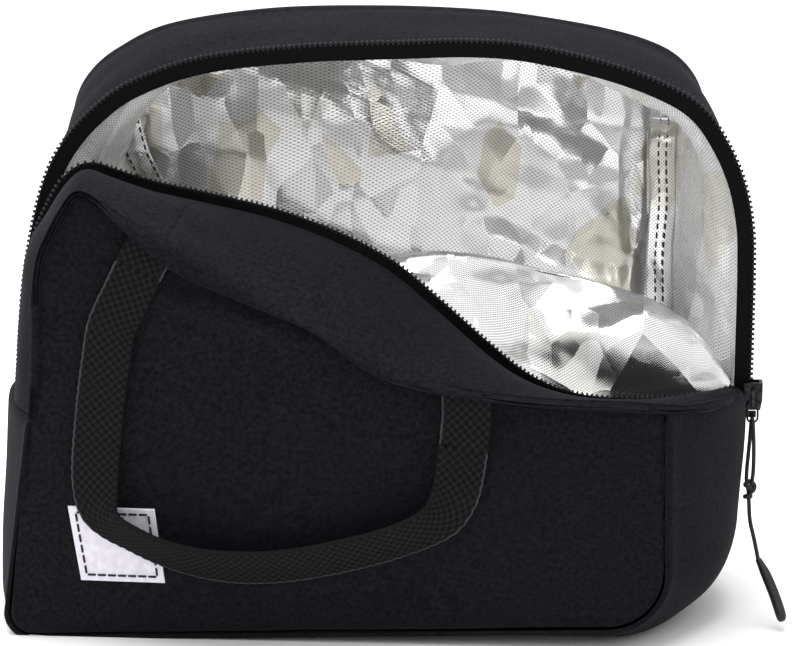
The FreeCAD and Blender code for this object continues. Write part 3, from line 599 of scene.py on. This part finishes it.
# the lower wall's outlines, each a U from its left rim down, along the floor and up to its right rim
lowerRims = {
    "front": {"left": {"top": -125, "low": -136, "shut": 1, "bend": 8},
              "right": {"top": 114.5, "low": 115.5, "shut": 9, "bend": 22}},
    "middle": {"left": {"top": -141.5, "low": -145, "shut": 0, "bend": 12},
               "right": {"top": 145, "low": 143.4, "shut": 0, "bend": 38}},
    "back": {"left": {"top": -123, "low": -124, "shut": 6, "bend": 17},
             "right": {"top": 123, "low": 124, "shut": 6, "bend": 17}},
}
# shares of the run that go to each leg and each bend, the underside has the rest
rimShares = (0.15, 0.08)


def onLowerRim(t, name, inset=0.0):
    ends = []
    for side, inward in (("left", inset), ("right", -inset)):
        rim = lowerRims[name][side]
        ends.append((rim["top"] + inward, rim["low"] + inward, rim["shut"] + inset, rim["bend"] - 0.5 * inset))
    leg, bend = rimShares
    down = min(t, 1 - t)
    top, low, shut, turn = ends[0] if t <= 0.5 else ends[1]
    inwards = 1 if t <= 0.5 else -1
    if down <= leg:
        return mixed(top, low, down / leg), mixed(bag["zipEndHeight"], shut + turn, down / leg)
    if down <= leg + bend:
        angle = (down - leg) / bend * pi / 2
        return low + inwards * turn * (1 - cos(angle)), shut + turn * (1 - sin(angle))
    f = (t - leg - bend) / (1 - 2 * (leg + bend))
    left, right = ends
    return mixed(left[1] + left[3], right[1] - right[3], f), mixed(left[2], right[2], f)


def onLowerWall(t, w, inset=0.0, front=None, back=None):
    # the lower wall from its front seam, w 0, to its back seam, w 1
    near, far = ("front", "middle") if w < 0.5 else ("back", "middle")
    share = 2 * w if w < 0.5 else 2 - 2 * w
    nearX, nearZ = onLowerRim(t, near, inset)
    farX, farZ = onLowerRim(t, far, inset)
    wide = sin(share * pi / 2) ** bag["sideSwell"]
    deep = 1 - (1 - share) ** bag["underSwell"]
    y = mixed(bag["frontSeam"] if front is None else front, bag["backSeam"] if back is None else back, w)
    return Vector((mixed(nearX, farX, wide), y, mixed(nearZ, farZ, deep)))


# the back zip's edge and the back panel's top edge in X and Z, from the left zip end over the crown
zipArch = curve((x, 0, z) for x, z in (
    (-136.2, 88), (-134.6, 120), (-130, 148), (-124, 169), (-116.5, 182.5), (-106, 194), (-92, 204),
    (-66, 213.5), (-28, 218.5), (11, 220.5), (38, 221.5), (60, 220), (88, 214), (110, 206.5),
    (124.5, 198), (134, 185), (140.5, 170), (143.8, 154), (144.6, 138), (144.6, 110), (144.4, 84)))
backArch = curve((x, 0, z) for x, z in (
    (-122.5, 88), (-123.5, 118), (-124, 146), (-123.6, 172), (-121.6, 188), (-116, 199), (-105, 208.5),
    (-84, 218.5), (-44, 225), (0, 226.5), (37, 225.5), (60, 223.2), (86, 219), (105, 214),
    (117, 207.5), (124.5, 197), (127, 183), (126.5, 165), (125.4, 144), (124, 114), (122.8, 88)))
archShare, archLength = evenly(lambda t: through(zipArch, t))


def onArch(t, v, inset=0.0, back=None):
    # the upper wall from the back panel, v 0, to the zip, v 1
    def line(t):
        return mixed(through(backArch, t), through(zipArch, t), v)

    point = line(t) + outward(line, t) * (bag["crown"] * sin(pi * v) - inset)
    point.y = mixed(bag["backSeam"] if back is None else back, bag["backZip"], v)
    return point


# the front strip's seam on the front panel and its zip edge, from the left zip end to the slider
seamLine = curve([
    (-125, -55.5, 88), (-123.6, -56, 118), (-122, -56.5, 146), (-117, -57, 160), (-111, -57.5, 171),
    (-106, -57.5, 176.5), (-99, -57.5, 174), (-91, -57.5, 168.5), (-70, -57, 156.8), (-46, -57, 143.2),
    (-20, -57, 128.6), (3, -57, 115.6), (22, -57, 107), (41, -57, 102.5), (60, -57, 100), (80, -57, 99),
    (102, -56.5, 98.6), (120, -51, 96.5), (135, -32, 94), (142, -12, 90.5)])
zipLine = curve([
    (-136.2, -6, 88), (-133, -10, 118), (-127.5, -12, 146), (-121, -12.5, 161), (-115, -13, 170.5),
    (-108, -13, 174.5), (-99, -13, 172), (-84, -13, 167.5), (-63, -13, 163.2), (-38, -13, 157.5),
    (-14, -13, 149), (7, -13, 138), (24, -13, 124), (43, -13, 107), (60, -13, 93.5), (78, -13, 86),
    (100, -12.5, 83.5), (120, -11, 84), (135, -9, 86), (142.5, -6, 88)])
# at the same stations: the fold's hang below the seam, its stand forward, and the cloth's swell behind it
foldLine = curve([
    (0, 1.4, 6.5), (0, 1.4, 6), (0, 1.4, 5.5), (0, 1.4, 4.5), (0, 1.4, 4.5), (0, 1.6, 4.5), (0.5, 2.6, 4.5),
    (3, 5, 4.5), (9, 6.4, 4.5), (5.8, 6.4, 4.5), (1.9, 6, 5), (4.9, 6, 5), (3, 5.5, 5), (2, 5, 4.5),
    (2.2, 5, 4), (2.2, 5, 3), (2.2, 4.5, 2.6), (2.4, 4, 4.4), (2, 3.2, 4.6), (1, 1.5, 2)])
strip = {
    "leftEnd": -72, "rightStart": 6, "width": 66, "rows": 44,
    "rumples": [(0.9, 48, 31.0), (0.35, 17, 32.0)], "seamCalm": 10, "zipCalm": 8,
}


def seamAt(x):
    # where the seam passes a place along X, right of its highest point
    low, high = 0.3, 1.0
    for _ in range(30):
        middle = (low + high) / 2
        low, high = (middle, high) if through(seamLine, middle).x < x else (low, middle)
    return low


def onStrip(t, v):
    # from the seam, v 0, the cloth hangs forward in a fold over the panel, then runs back to the zip, v 1
    seam = through(seamLine, t)
    edge = through(zipLine, t)
    drop, stand, swell = through(foldLine, t)
    lift = mixed(Vector((-1, 0, 0)), Vector((0, 0, 1)), eased(t, 0.1, 0.28)) * swell
    rows = [
        seam,
        seam + Vector((0, -0.55 * stand, -0.75 * drop)),
        seam + Vector((0, -0.95 * stand, -drop)),
        seam + Vector((0, -1.05 * stand, -0.5 * drop)),
        mixed(seam, edge, 0.06) + Vector((0, -0.8 * stand, 0.15 * drop)),
        mixed(seam, edge, 0.3) + Vector((0, -0.25 * stand, 0)) + lift * 0.8,
        mixed(seam, edge, 0.54) + lift,
        mixed(seam, edge, 0.78) + lift * 0.65,
        edge,
    ]
    return through(rows, v)


print("outlines set")


# outer cloth

def seamTurn(distance):
    # how far cloth rolls in beside a sewn edge
    return bag["seamRoll"] * exp(-(distance / bag["seamReach"]) ** 2)


def clothWall(name, cells, place, flat, ripple, node, flip=False, body="bag", stretch=None):
    obj = makeSheet(name, cells, place, flat, [cloth], ripple=ripple, flip=flip, thick=bag["clothThick"])
    ride(obj, body, "black_cloth", node, stretch=stretch)
    return obj


lowerWall = {
    "cells": (300, 64), "length": 480, "halfWidth": 144,
    "pleats": [(1.1, 19, 3.0)], "rumples": [(0.8, 40, 2.0)], "most": 0.9, "seamCalm": 16, "floorCalm": 8,
    "rimReach": 4, "riseDepth": 58, "riseFoot": 50,
}


def makeLowerWall():
    length = lowerWall["length"]
    depth = bag["backSeam"] - bag["frontSeam"]

    def ripple(u, v, point):
        edge = min(v, 1 - v) * depth
        calm = eased(edge / lowerWall["seamCalm"]) * eased((point.z - 1) / lowerWall["floorCalm"])
        side = abs(point.x) / lowerWall["halfWidth"]
        pleat = rumpled((point.x, point.y * 0.7, point.z * 0.4), lowerWall["pleats"]) * side
        rumple = (rumpled(point, lowerWall["rumples"]) + pleat) * calm
        return min(rumple - seamTurn(edge), lowerWall["most"])

    def place(u, v):
        point = onLowerWall(u, v)
        rim = min(u, 1 - u) * length
        turned = bag["rimTurn"] * max(0, 1 - rim / lowerWall["rimReach"]) ** 2
        if u > 0.5:
            rise = bag["rightRise"] * (1 - eased((point.y - bag["frontSeam"]) / lowerWall["riseDepth"]))
            point.z += rise * eased(point.z, lowerWall["riseFoot"], bag["zipEndHeight"])
            turned = -turned
        point.x += turned
        return point

    clothWall("baseGusset", lowerWall["cells"], place, (length, depth), ripple, "base_gusset")


upperWall = {
    "cells": (300, 32),
    "folds": [(1.3, 24, 8.0)], "rumples": [(0.9, 55, 9.0)], "seamCalm": 12, "zipCalm": 10,
}


def makeUpperWall():
    depth = bag["backSeam"] - bag["backZip"]

    def ripple(u, v, point):
        edge = v * depth
        fold = rumpled((point.x * 0.5, point.y * 1.3, point.z * 0.5), upperWall["folds"])
        calm = eased(edge / upperWall["seamCalm"]) * eased((1 - v) * depth / upperWall["zipCalm"])
        return (fold + rumpled(point, upperWall["rumples"])) * calm - seamTurn(edge)

    def place(u, v):
        return onArch(archShare(u), v)

    clothWall("backZipStrip", upperWall["cells"], place, (archLength, depth), ripple, "back_zip_strip")


# where the panels' foot runs on the lower wall's outline, and the back panel's head on its arch
panelEnds = {"foot": (0.15, 0.85), "head": (0.155, 0.845)}


def panelPoint(u, v, inset, y):
    # the back panel between the lower wall's back outline and the arch
    footX, footZ = onLowerRim(mixed(*panelEnds["foot"], u), "back", inset)
    place = mixed(*panelEnds["head"], u)
    head = through(backArch, place) - outward(lambda t: through(backArch, t), place) * inset
    return mixed(Vector((footX, y, footZ)), Vector((head.x, y, head.z)), v)


backWall = {
    "cells": (124, 108), "flat": (246, 215), "height": 210, "inset": 0.3, "proud": 1.4, "belly": 2.2,
    "rumples": [(1.0, 60, 12.0)], "crinkles": [(0.35, 20, 13.0)], "seamCalm": 25,
}


def makeBackPanel():
    def place(u, v):
        point = panelPoint(u, v, backWall["inset"], bag["backSeam"] + backWall["proud"])
        point.y += backWall["belly"] * sin(pi * u) * sin(pi * v)
        return point

    def ripple(u, v, point):
        edge = min(min(u, 1 - u) * backWall["flat"][0], min(v, 1 - v) * backWall["height"])
        rumple = rumpled(point, backWall["rumples"]) * eased(edge / backWall["seamCalm"])
        return rumple + rumpled(point, backWall["crinkles"]) - seamTurn(edge)

    return clothWall("backPanel", backWall["cells"], place, backWall["flat"], ripple, "back_panel", flip=True)


# roll is a soft fold that runs under the strip at the left
frontWall = {
    "cells": (150, 80), "flat": (240, 120), "height": 110, "proud": 1.2, "belly": 1.4,
    "slack": [(1.6, 34, 21.0)], "rumples": [(0.8, 52, 20.0), (0.3, 16, 22.0)],
    "roll": 2.4, "rollWide": 4.0, "rollStart": (-86, -74), "rollStop": (-40, -4),
    "rollDrop": (15, 7), "rollBend": (-80, -10),
}


def makeFrontPanel():
    first = 2 / (len(seamLine) - 1)
    last = seamAt(lowerRims["front"]["right"]["top"])
    topShare = evenly(lambda s: through(seamLine, mixed(first, last, s)))[0]
    y = bag["frontSeam"] - frontWall["proud"]

    def place(u, v):
        footX, footZ = onLowerRim(mixed(*panelEnds["foot"], u), "front")
        head = through(seamLine, mixed(first, last, topShare(eased(u) * 0.25 + u * 0.75)))
        point = mixed(Vector((footX, y, footZ)), Vector((head.x, y, head.z)), v)
        belly = sin(pi * u) ** 0.7 * sin(pi * min(v * 1.05, 1)) ** 0.7
        point.y -= frontWall["belly"] * belly
        return point

    def ripple(u, v, point):
        edge = min(min(u, 1 - u) * frontWall["flat"][0], v * frontWall["flat"][1])
        top = (1 - v) * frontWall["height"]
        slack = rumpled((point.x, 0, point.z * 0.35), frontWall["slack"])
        slack *= eased(v * 1.4) * (1 - eased(u, 0.5))
        window = eased(point.x, *frontWall["rollStart"]) * (1 - eased(point.x, *frontWall["rollStop"]))
        middle = mixed(*frontWall["rollDrop"], eased(point.x, *frontWall["rollBend"]))
        roll = frontWall["roll"] * exp(-((top - middle) / frontWall["rollWide"]) ** 2) * window
        return slack + roll + rumpled(point, frontWall["rumples"]) - seamTurn(edge) - 0.5 * seamTurn(top)

    return clothWall("frontPanel", frontWall["cells"], place, frontWall["flat"], ripple, "front_panel")


makeLowerWall()
makeUpperWall()
backPanel = makeBackPanel()
frontPanel = makeFrontPanel()
print("outer walls made")


# the front strip with its tape and teeth, in three pieces that meet: the left leg, the flap and the right end

# endings of each piece's names, its body or bodies, and a stretch given with the two bodies
stripPieces = (
    ("Left", "_left", ("bag", "mouth_flap"), ((-108, -13, 120), (-74, -13, 120))),
    ("", "", "mouth_flap", None),
    ("Right", "_right", ("mouth_flap", "bag"), ((8, -13, 120), (52, -13, 120))),
)


def stripRuns():
    # each piece's row with where it starts and ends along the strip
    marks = [0.0, seamAt(strip["leftEnd"]), seamAt(strip["rightStart"]), 1.0]
    return [(start, end, *row) for start, end, row in zip(marks, marks[1:], stripPieces)]


def stripNormal(t, v):
    step = 0.004
    along = onStrip(min(t + step, 1), v) - onStrip(max(t - step, 0), v)
    across = onStrip(t, min(v + step, 1)) - onStrip(t, max(v - step, 0))
    return along.cross(across).normalized()


def makeStrips():
    width = strip["width"]
    for start, end, title, tail, body, stretch in stripRuns():
        share, length = evenly(lambda s: onStrip(mixed(start, end, s), 0.5))

        def place(u, v):
            return onStrip(mixed(start, end, share(u)), v)

        def ripple(u, v, point):
            edge = v * width
            calm = eased(edge / strip["seamCalm"]) * eased((1 - v) * width / strip["zipCalm"])
            return rumpled(point, strip["rumples"]) * calm - 0.6 * seamTurn(edge)

        cells = (max(int(length / 2), 12), strip["rows"])
        clothWall(f"frontZipStrip{title}", cells, place, (length, width), ripple, f"front_zip_strip{tail}",
                  body=body, stretch=stretch)


makeStrips()
print("front strip made")


# zip: tapes that stand out from the cloth's edge, each with its row of teeth

zipRow = {
    "tape": 4, "tapeThick": 0.8, "tuck": 2.5, "pitch": 2.0, "seat": 1.0, "step": 0.003,
    "toothWidth": 0.95, "toothLength": 1.9, "toothThick": 1.6, "roundness": 0.28,
}


def frontZip(t):
    return through(zipLine, t)


def backZip(t):
    point = through(zipArch, t)
    point.y = bag["backZip"] - 0.5
    return point


def makeZipRow(side, line, start, end, title="", tail="", body="bag", stretch=None):
    # a tape and its row of teeth
    share, length = evenly(lambda s: line(mixed(start, end, s)))

    def spot(u, out):
        t = mixed(start, end, share(u))
        across = outward(line, t, zipRow["step"])
        return line(t) + across * out, across

    def place(u, v):
        return spot(u, mixed(-zipRow["tuck"], zipRow["tape"], v))[0]

    flat = (length, zipRow["tape"] + zipRow["tuck"])
    ribbon = makeSheet(f"{side}ZipTape{title}", (int(length / 2), 6), place, flat, [tape],
                       thick=zipRow["tapeThick"], side=0)
    ride(ribbon, body, "zip_tape", f"{side}_zip_tape{tail}", stretch=stretch)
    count = int(length / zipRow["pitch"])
    scale = Matrix.Diagonal((zipRow["toothWidth"], zipRow["toothThick"], zipRow["toothLength"], 1))
    bm = bmesh.new()
    for i in range(count):
        centre, out = spot((i + 0.5) / count, zipRow["tape"] - zipRow["seat"] + zipRow["toothLength"] / 2)
        turn = Matrix(((out.z, 0, -out.x), (0, 1, 0), out)).transposed().to_4x4()
        block(bm, centre, turn @ scale)
    softened(bm, bm.edges[:], zipRow["roundness"])
    teeth = finished(f"{side}ZipTeeth{title}", bm, [coil])
    ride(teeth, body, "zip_coil", f"{side}_zip_teeth{tail}", stretch=stretch)


def makeZip():
    makeZipRow("back", backZip, 0, 1)
    for run in stripRuns():
        makeZipRow("front", frontZip, *run)


makeZip()
print("zip made")


# foil lining, crumpled film over the foam, which it hides

# creases first, then how far the film hangs inwards, then its gathers at the corner seam and its cut sizes
film = {
    "facet": 56, "facetDepth": 4.6, "crinkle": 20, "crinkleDepth": 1.3, "roll": 60, "rollDepth": 1.6,
    "most": 4.2, "pinch": 1.9, "inner": 50.5, "gather": 2, "gatherWide": 16,
    "backSlump": 20, "leftHang": 20, "rightHang": 8, "sideSlump": 8, "slumpTop": 185,
    "baseLength": 460, "backFlat": (236, 212),
}


def slumped(z):
    # 0 where the film hangs from its upper edge, 1 where it has slid furthest inwards
    return 1 - eased(z, bag["zipEndHeight"], film["slumpTop"])


def filmRipple(seed, depth=1.0, edgeCalm=None):
    def ripple(u, v, point):
        broad = film["facetDepth"] * creased(point, film["facet"], seed)
        small = film["crinkleDepth"] * creased(point, film["crinkle"], seed + 3)
        patchy = eased(0.5 + 1.4 * wave(point, 45, seed + 7))
        roll = film["rollDepth"] * wave(point, film["roll"], seed + 11)
        calm = edgeCalm(u, v) if edgeCalm else 1.0
        offset = depth * calm * (broad + small * patchy + roll)
        return min(max(offset, -film["most"]), film["most"])
    return ripple


def filmSheet(name, cells, place, flat, ripple, nodes=(), flip=True, material=foil,
              body="bag", stretch=None):
    obj = makeSheet(name, cells, place, flat, [material], ripple=ripple, flip=flip, thick=bag["foilThick"])
    ride(obj, body, "foil_lining", *nodes, stretch=stretch)
    return obj


def makeBaseLining():
    def place(u, v):
        return onLowerWall(u, v, bag["wall"], -film["inner"], film["inner"])

    def calm(u, v):
        return eased(min(u, 1 - u) / 0.03)

    flat = (film["baseLength"], 2 * film["inner"])
    filmSheet("baseLining", (220, 60), place, flat, filmRipple(41.0, 0.7, calm), ("base_lining", "base_foam"))


def makeArchLining():
    # looser towards the sides, and nipped in under the zip
    def place(u, v):
        t = archShare(u)
        edge = through(zipArch, t)
        hang = film["leftHang"] if edge.x < 0 else film["rightHang"]
        loose = hang * eased(abs(edge.x), 60, 120) + film["sideSlump"] * slumped(edge.z)
        inset = bag["wall"] + loose * sin(pi / 2 * (1 - v))
        return onArch(t, v, mixed(inset, film["pinch"], eased(v, 0.8)), film["inner"])

    def calm(u, v):
        return eased((1 - v) / 0.25)

    flat = (archLength, film["inner"] - bag["backZip"])
    return filmSheet("backStripLining", (360, 40), place, flat, filmRipple(51.0, 0.7, calm),
                     ("back_strip_lining", "back_strip_foam"), material=crushedFoil)


def makeBackLining():
    def place(u, v):
        point = panelPoint(u, v, bag["clothThick"] + 1, film["inner"])
        point.y -= film["backSlump"] * slumped(point.z) * eased(min(u, 1 - u) / 0.12)
        # gathered upright folds beside the corner seam
        beside = (point.x - corners["right"]["top"][0]) / film["gatherWide"]
        point.y -= film["gather"] * exp(-beside ** 2) * cos(9 * beside + wave(point, 40, 3.0))
        return point

    return filmSheet("backLining", (190, 165), place, film["backFlat"], filmRipple(61.0),
                     ("back_lining", "back_foam"), flip=False)


# the front wall's lining slumps inwards: its edge at the zip, a soft ledge behind it, then down the wall
ledge = {
    "crest": [(-104, 6, 122), (-84, 8, 128), (-63, 9, 131), (-38, 10, 133), (-14, 10, 135), (7, 10, 136.5),
              (24, 10, 138), (43, 10, 137.5), (60, 10, 134.5), (78, 9.5, 131), (100, 8, 125), (118, 5, 116),
              (131, 1, 104), (139, -3, 92)],
    "first": 6, "tuck": (0, 1.2, -1.6), "flapDrop": 9, "flapEnd": (2, 40), "rightEnds": (126, 116, 98),
    "height": 190,
}


def makeFrontLining():
    crest = curve(ledge["crest"])
    begin = ledge["first"] / (len(zipLine) - 1)
    share, length = evenly(lambda s: through(crest, s))
    backEnd, lowEnd, footEnd = ledge["rightEnds"]

    def place(u, v):
        t = share(u)
        top = through(crest, t)
        edge = frontZip(mixed(begin, 1.0, t)) + Vector(ledge["tuck"])
        edge.z -= ledge["flapDrop"] * (1 - eased(edge.x, *ledge["flapEnd"]))
        inward = top.x * (1 - 0.04 * u)
        rows = [
            edge,
            mixed(edge, top, 0.55) + Vector((0, -2.5, 1.5)),
            top,
            Vector((min(inward, backEnd), top.y - 1, top.z - 22)),
            Vector((min(inward, lowEnd), -24, max(top.z - 70, 40))),
            Vector((min(top.x, footEnd), -48, 14)),
        ]
        return through(rows, v)

    def calm(u, v):
        # stiller along the fold at the crest
        fold = 1 - 0.8 * exp(-((v - 0.43) / 0.1) ** 2)
        return eased(v / 0.12) * eased((1 - u) / 0.08) * fold

    filmSheet("frontLining", (150, 110), place, (length, ledge["height"]), filmRipple(74.0, 1.0, calm),
              ("front_lining", "front_foam"), material=brightFoil)


def makeStripLining():
    # behind the front strip, a few millimetres inside its cloth
    for start, end, title, tail, body, stretch in stripRuns():
        share, length = evenly(lambda s: onStrip(mixed(start, end, s), 0.5))

        def place(u, v):
            t = mixed(start, end, share(u))
            across = mixed(0.6, 0.98, v)
            inset = mixed(bag["wall"] - 0.6, film["pinch"] + 0.4, eased(v, 0.6))
            return onStrip(t, across) - stripNormal(t, across) * inset

        nodes = () if title else ("front_strip_lining", "front_strip_foam")
        cells = (max(int(length / 2.5), 10), 24)
        filmSheet(f"frontStripLining{title}", cells, place, (length, strip["width"] * 0.5),
                  filmRipple(81.0, 0.12), nodes, body=body, stretch=stretch)


# seam allowances of the lining stand out of its two back corners, each with two rows of stitches
corners = {
    "right": {"top": (112.6, 192), "foot": (112.2, 112), "front": 26, "width": 10.2, "rows": (0.36, 0.66)},
    "left": {"top": (-102, 190), "foot": (-93.5, 160), "front": 38, "width": 10.2, "rows": (0.1, 0.9)},
    "stitch": (2.2, 1.3, 0.7),
}


def makeStitches(name, lines, sizes):
    # short round-edged dashes laid end to end on lines of points; sizes are length, gap and width
    long, gap, wide = sizes
    bm = bmesh.new()
    for points in lines:
        share, length = evenly(lambda t: through(points, t))
        count = max(int(length / (long + gap)), 1)
        for i in range(count):
            behind, middle, ahead = [through(points, share((i + f) / count)) for f in (0.4, 0.5, 0.6)]
            turn = (ahead - behind).to_track_quat("X", "Z").to_matrix().to_4x4()
            block(bm, middle, turn @ Matrix.Diagonal((long, wide, wide, 1)))
    softened(bm, bm.edges[:], wide * 0.28)
    ride(finished(name, bm, [thread]), "bag", "black_webbing")


def makeCornerSeams(linings):
    for title in ("right", "left"):
        corner = corners[title]
        width = corner["width"]
        top, foot = [Vector((corner[end][0], 0, corner[end][1])) for end in ("top", "foot")]

        # laid on whichever lining stands further forward
        depths = []
        for i in range(9):
            point = mixed(foot, top, i / 8)
            edges = [point + Vector((width * side, 0, 0)) for side in (-0.5, 0, 0.5)]
            hits = [faceOf(lining, edge) for lining in linings for edge in edges]
            nearest = min([film["inner"]] + [hit for hit in hits if hit is not None])
            depths.append(Vector((0, max(nearest, corner["front"]), 0)))

        def place(u, v):
            point = mixed(foot, top, u)
            point.x += width * (v - 0.5) + 1.2 * wave((0, 0, point.z), 22, 5.0)
            point.y = through(depths, u).y - 0.8 - 1.6 * sin(pi * v)
            return point

        filmSheet(f"{title}CornerSeam", (80, 12), place, ((top - foot).length, width), filmRipple(91.0, 0.12),
                  flip=False)
        lines = [[place(i / 30, across) + Vector((0, -0.7, 0)) for i in range(31)] for across in corner["rows"]]
        makeStitches(f"{title}CornerStitches", lines, corners["stitch"])


makeBaseLining()
archLining = makeArchLining()
backLining = makeBackLining()
makeFrontLining()
makeStripLining()
makeCornerSeams((archLining, backLining))
print("foil lining made")


# carrying handles of flat webbing, sewn on at their ends

def mirrored(stations):
    return [(-x, y, z, turn) for x, y, z, turn in reversed(stations)]


# each as a line through the middle of the webbing, with its turn in degrees there, upper edge forward
frontHandle = [
    (-83.2, -60.2, 147.8, 0), (-87.9, -60.3, 138, 2), (-93.7, -60.4, 125.4, 4), (-96, -60.5, 112.9, 4),
    (-97.9, -60.6, 100.3, 5), (-99.4, -60.8, 87.7, 6), (-100.6, -61.4, 75, 8), (-100.9, -62.8, 63.4, 16),
    (-99.6, -64.4, 54.4, 30), (-95, -65.6, 48.4, 41), (-86.6, -65.8, 43.4, 44), (-76.3, -65.7, 38.6, 43),
    (-64.2, -65.5, 34.9, 40), (-52, -65.4, 33.2, 37), (-39.8, -65.7, 33, 36), (-27.6, -65.7, 34.2, 36),
    (-15.4, -65.7, 36.4, 36), (-3.2, -65.7, 39.4, 36), (9, -65.6, 42.9, 36), (21, -65.2, 47.4, 34),
    (30.5, -64, 53, 28), (35.4, -62.8, 60.5, 20), (37.6, -61.8, 69, 12), (39.3, -61, 80.8, 4)]
frontEnds = [
    [(-83.4, -60.2, 147.4, 0), (-81.4, -60, 151.4, 0), (-79, -59.6, 156, 0), (-76.5, -59.2, 161, 0)],
    [(40.2, -59.4, 102, 0), (40.4, -60, 95, 0), (40, -60.6, 88, 2), (39.3, -61, 80.2, 4)],
]
backHalf = [
    (-67, 59.8, 217.6, 0), (-68.5, 60.2, 198, 0), (-69, 60.8, 176, 0), (-67.5, 61.4, 153, 0),
    (-61, 62, 134.4, 0), (-47, 62.4, 123.2, 0), (-24, 62.6, 118.6, 0), (0, 62.6, 117.8, 0)]
backHandle = backHalf + mirrored(backHalf)[1:]
backEnd = [(-67, 59.8, 217.4, 0), (-66.9, 59.4, 218.4, 0), (-66.8, 58.8, 219.4, 0), (-66.7, 58, 220.2, 0)]
backEnds = [backEnd, mirrored(backEnd)]


# a stretch given for each handle, square to the line between its sewn ends
handleTurns = {
    "front": ((-26.6, -58.9, 116.8), (-37.3, -58.9, 97.5)),
    "back": ((0, 58.9, 217.6), (0, 58.9, 196)),
}


def makeRibbon(name, stations, facing, panel):
    points = curve(station[:3] for station in stations)
    turns = curve((station[3], 0, 0) for station in stations)
    share, length = evenly(lambda t: through(points, t))
    width = webbing["width"]
    waves = 2 * pi / webbing["threadPitch"]

    def place(u, v):
        t = share(u)
        run = (through(points, t + 0.01) - through(points, t - 0.01)).normalized()
        across = run.cross(facing).normalized()
        out = across.cross(run).normalized()
        twist = radians(through(turns, t).x)
        side = across * cos(twist) - out * sin(twist)
        point = through(points, t) + side * width * (v - 0.5)
        # kept outside the panel's cloth
        depth = faceOf(panel, point, facing)
        if depth is not None:
            clear = depth + facing.y * (webbing["thick"] / 2 + webbing["gap"])
            point.y = min(point.y, clear) if facing.y < 0 else max(point.y, clear)
        return point

    def ripple(u, v, point):
        return webbing["dotHeight"] * sin(u * length * waves) * sin(v * width * waves)

    cells = (max(int(length / webbing["cell"]), 8), 24)
    return makeSheet(name, cells, place, (length, width), [webbingCloth], ripple=ripple, flip=facing.y > 0,
                     thick=webbing["thick"], side=0)


def bevelledCopy(node, name, offset):
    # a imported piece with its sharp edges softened
    bm = bmesh.new()
    bm.from_mesh(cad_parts[node].data)
    bmesh.ops.remove_doubles(bm, verts=bm.verts[:], dist=1e-6)
    bmesh.ops.dissolve_limit(bm, angle_limit=radians(2), verts=bm.verts[:], edges=bm.edges[:])
    sharp = [e for e in bm.edges if len(e.link_faces) == 2 and e.calc_face_angle() > radians(25)]
    softened(bm, sharp, offset, 2)
    return finished(name, bm, [metal], smooth=False)


def makeHandles():
    for title, line, ends, facing, panel in (
            ("front", frontHandle, frontEnds, towardsFront, frontPanel),
            ("back", backHandle, backEnds, -towardsFront, backPanel)):
        node = f"{title}_handle"
        obj = makeRibbon(f"{title}Handle", line, facing, panel)
        ride(obj, ("bag", node), "black_webbing", node, stretch=handleTurns[title])
        for side, stations in zip(("Left", "Right"), ends):
            tack = makeRibbon(f"{title}HandleEnd{side}", stations, facing, panel)
            ride(tack, "bag", "black_webbing", f"{node}_tacks")


makeHandles()
print("handles made")


# blank sewn label with a running stitch round it

label = {
    "corners": [(-107.9, 24.0), (-75.4, 23.7), (-78.9, 53.5), (-112.5, 53.8)],
    "flat": (33, 30), "thick": 0.45, "lift": 0.5, "curl": 0.8, "panelFront": -57.5,
    "stitchInset": 0.08, "stitch": (3.2, 0.6, 0.8),
}


def makeLabel():
    a, b, c, d = [Vector((x, 0, z)) for x, z in label["corners"]]

    def place(u, v):
        point = mixed(mixed(a, b, u), mixed(d, c, u), v)
        depth = faceOf(frontPanel, point)
        curl = label["curl"] * sum(max(0, abs(2 * side - 1) - 0.9) for side in (u, v))
        point.y = (label["panelFront"] if depth is None else depth) - label["lift"] - curl
        return point

    obj = makeSheet("sewnLabel", (44, 40), place, label["flat"], [labelCloth], thick=label["thick"])
    ride(obj, "bag", "woven_label", "sewn_label")
    near = label["stitchInset"]
    far = 1 - near
    turns = [(near, near), (far, near), (far, far), (near, far), (near, near)]
    lines = []
    for (u, v), (nextU, nextV) in zip(turns, turns[1:]):
        shares = [i / 12 for i in range(13)]
        lines.append([place(mixed(u, nextU, f), mixed(v, nextV, f)) + Vector((0, -0.15, 0)) for f in shares])
    makeStitches("labelStitches", lines, label["stitch"])


makeLabel()
ride(bevelledCopy("zip_slider", "zipSlider", 0.22), "zip_slider", "dark_metal", "zip_slider")
ride(bevelledCopy("zip_foot_stop", "zipFootStop", 0.3), "bag", "dark_metal", "zip_foot_stop")
print("label and slider made")
